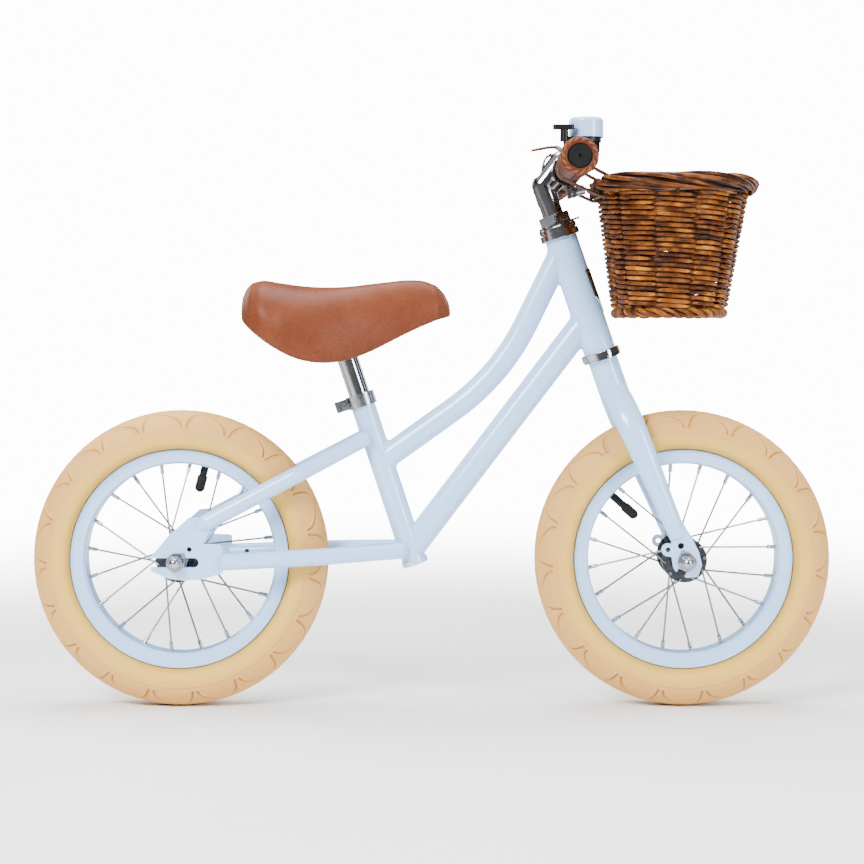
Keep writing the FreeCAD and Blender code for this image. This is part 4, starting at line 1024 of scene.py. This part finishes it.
def band(builder, line, centre_y, half, thick, closed):
    """A flat strap with rounded edges along an (x, z) line."""
    line = np.asarray(line, float)
    if closed:
        tangent = np.roll(line, -1, 0) - np.roll(line, 1, 0)
    else:
        tangent = np.gradient(line, axis=0)
    tangent /= np.linalg.norm(tangent, axis=1)[:, None]
    normal = np.stack([-tangent[:, 1], tangent[:, 0]], 1)
    half = np.broadcast_to(np.asarray(half, float), len(line))
    shape = [(-1.0, 0.0), (-0.97, 0.38), (-0.86, 0.5), (-0.4, 0.5), (0.0, 0.5), (0.4, 0.5), (0.86, 0.5),
             (0.97, 0.38)]
    shape = shape + [(-across, -up) for across, up in shape]
    verts = []
    for (x, z), (nx, nz), w in zip(line, normal, half):
        for across, up in shape:
            verts.append((x + nx * up * thick, centre_y + across * w, z + nz * up * thick))
    cols = len(shape)
    faces = grid_faces(len(line), cols, wrap_rows=closed)
    if not closed:
        faces.append(tuple(reversed(range(cols))))
        faces.append(tuple(range((len(line) - 1) * cols, len(line) * cols)))
    builder.add(verts, faces)


def tail_line(corners):
    """A strap end's rounded (x, z) line over the bar, from corner points around the bar's top."""
    corners = np.array(corners) + (BAR.x, BAR.z + BAR_R + STRAP_T)
    steps = np.linspace(0, len(corners) - 1, TAIL_STEPS)
    line = np.stack([np.interp(steps, range(len(corners)), corners[:, k]) for k in (0, 1)], 1)
    padded = np.pad(line, ((2, 2), (0, 0)), mode="edge")
    return np.stack([np.convolve(padded[:, k], np.ones(5) / 5, "valid") for k in (0, 1)], 1)


def add_buckle(metal, y):
    """A wire frame with rounded corners, and its prong."""
    middle = Vector((BAR.x - 0.0086, y, BAR.z + BAR_R + STRAP_T + 0.0052))
    outline = []
    for cx, cy, start in ((1, 1, 0), (-1, 1, 90), (-1, -1, 180), (1, -1, 270)):
        for angle in np.radians(np.linspace(start, start + 90, 5)):
            spot = Vector((cx * (BUCKLE_HALF_X - BUCKLE_CORNER) + BUCKLE_CORNER * math.cos(angle),
                           cy * (BUCKLE_HALF_Y - BUCKLE_CORNER) + BUCKLE_CORNER * math.sin(angle), 0))
            outline.append(tuple(middle + BUCKLE_TILT @ spot))
    metal.add(*tube(outline, 0.00115, 8, closed=True))
    prong = ((-0.0062, 0.0004), (-0.003, 0.0019), (0.003, 0.0019), (0.0072, 0.0008))
    metal.add(*tube([tuple(middle + BUCKLE_TILT @ Vector((x, 0, z))) for x, z in prong], 0.0008, 8))


def add_tail_stitches(thread, line, taper, y):
    """Two rows of short stitches along a strap end."""
    for edge in (-1, 1):
        for k in range(TAIL_STITCHES):
            i = 10 + 3 * k
            place = y + (STRAP_HALF - 0.0025) * edge * float(taper[i + 1])
            ends = [(x, place, z + 0.0011) for x, z in line[i:i + 2]]
            thread.add(*tube(ends, 0.0004, 6))


def build_straps():
    """Two straps looped round the bar and the rail, with buckles and free ends."""
    straps = Builder()
    metal = Builder()
    thread = Builder()
    taper = np.clip((TAIL_STEPS - np.arange(TAIL_STEPS)) / 7.0, 0.05, 1.0) ** 0.5
    for side, corners in ((-1, NEAR_TAIL), (1, FAR_TAIL)):
        y = side * STRAP_Y
        line = tail_line(corners)
        band(straps, loop_line(), y, STRAP_HALF, STRAP_T, True)
        band(straps, line, y, (STRAP_HALF - 0.001) * taper, TAIL_T, False)
        add_buckle(metal, y)
        add_tail_stitches(thread, line, taper, y)
    leather = straps.build("basket_strap_leather", STRAP_HIDE)
    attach(leather, "cockpit")
    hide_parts("basket_straps")
    buckles = metal.build("strap_buckle_wire", CHROME)
    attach(buckles, "cockpit")
    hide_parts("strap_buckles")
    stitches = thread.build("strap_stitching", THREAD)
    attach(stitches, "cockpit")


# ---- stage ---------------------------------------------------------------------------
FLOOR_HALF = 3.0
BACKDROP_STRENGTH = 14.0
ROOM_STEPS = ((0.0, 0.25), (0.42, 0.04), (0.60, 0.12), (0.72, 0.95), (1.0, 1.2))
LIGHT_TARGET = (0, 0, 0.3)
AREA_LIGHTS = (
    ("key", (-1.2, -1.7, 1.7), LIGHT_TARGET, (1.1, 0.8), 125),
    ("fill", (1.7, -1.5, 0.9), (0.1, 0, 0.3), (0.5, 1.4), 52),
    ("top", (0.1, 0.3, 2.3), LIGHT_TARGET, (2.0, 1.2), 92),
    ("back_left", (-1.5, 1.8, 1.2), LIGHT_TARGET, (0.9, 1.2), 15),
    ("back_right", (1.5, 1.8, 1.2), LIGHT_TARGET, (0.9, 1.2), 15),
)


def build_stage():
    corners = [(FLOOR_HALF * x, FLOOR_HALF * y, 0) for x, y in ((-1, -1), (1, -1), (1, 1), (-1, 1))]
    floor = mesh_object("floor", corners, [(0, 1, 2, 3)], floor_material(), smooth=False)


def area_light(name, location, target, size, power):
    """A soft box aimed at a target; power in watts."""
    data = bpy.data.lights.new(name, "AREA")
    data.shape = "RECTANGLE"
    data.size = size[0]
    data.size_y = size[1]
    data.energy = power
    light = bpy.data.objects.new(name, data)
    light.location = location
    aim = Vector(target) - Vector(location)
    light.rotation_euler = aim.to_track_quat("-Z", "Y").to_euler()
    bpy.context.scene.collection.objects.link(light)


def build_world():
    """Pale backdrop for the camera; the metal mirrors a dim room under a bright ceiling."""
    world = bpy.data.worlds.new("studio")
    bpy.context.scene.world = world
    world.use_nodes = True
    tree = world.node_tree
    room = tree.nodes["Background"]
    coords = tree.nodes.new("ShaderNodeTexCoord")
    split = tree.nodes.new("ShaderNodeSeparateXYZ")
    ramp = tree.nodes.new("ShaderNodeValToRGB")
    tree.links.new(coords.outputs["Generated"], split.inputs[0])
    tree.links.new(split.outputs["Z"], ramp.inputs["Fac"])
    while len(ramp.color_ramp.elements) < len(ROOM_STEPS):
        ramp.color_ramp.elements.new(0.5)
    for element, (position, value) in zip(ramp.color_ramp.elements, ROOM_STEPS):
        element.position = position
        element.color = (value, value, value, 1)
    tree.links.new(ramp.outputs["Color"], room.inputs["Color"])
    backdrop = tree.nodes.new("ShaderNodeBackground")
    backdrop.inputs["Color"].default_value = (1, 1, 1, 1)
    backdrop.inputs["Strength"].default_value = BACKDROP_STRENGTH
    path = tree.nodes.new("ShaderNodeLightPath")
    mix = tree.nodes.new("ShaderNodeMixShader")
    tree.links.new(path.outputs["Is Camera Ray"], mix.inputs[0])
    tree.links.new(room.outputs[0], mix.inputs[1])
    tree.links.new(backdrop.outputs[0], mix.inputs[2])
    tree.links.new(mix.outputs[0], tree.nodes["World Output"].inputs["Surface"])


def build_lights():
    """The room and its soft boxes."""
    build_world()
    for light in AREA_LIGHTS:
        area_light(*light)


def build_camera():
    data = bpy.data.cameras.new("camera")
    data.lens = 81.5
    data.sensor_width = 36.0
    data.shift_x = -0.0023
    data.shift_y = -0.1204
    camera = bpy.data.objects.new("camera", data)
    camera.location = (0.0026, -2.06, 0.3963)
    camera.rotation_euler = (math.radians(90), 0, 0)
    bpy.context.scene.collection.objects.link(camera)
    bpy.context.scene.camera = camera


dress_cad_nodes()
build_camera()
build_lights()
build_stage()
build_tyre("front_cream_tyre", "front_tyre", "front_wheel", FRONT_AXLE, 1.9)
build_tyre("rear_cream_tyre", "rear_tyre", "rear_wheel", REAR_AXLE, 2.206)
build_welds()
build_basket()
build_saddle()
build_grips()
build_straps()
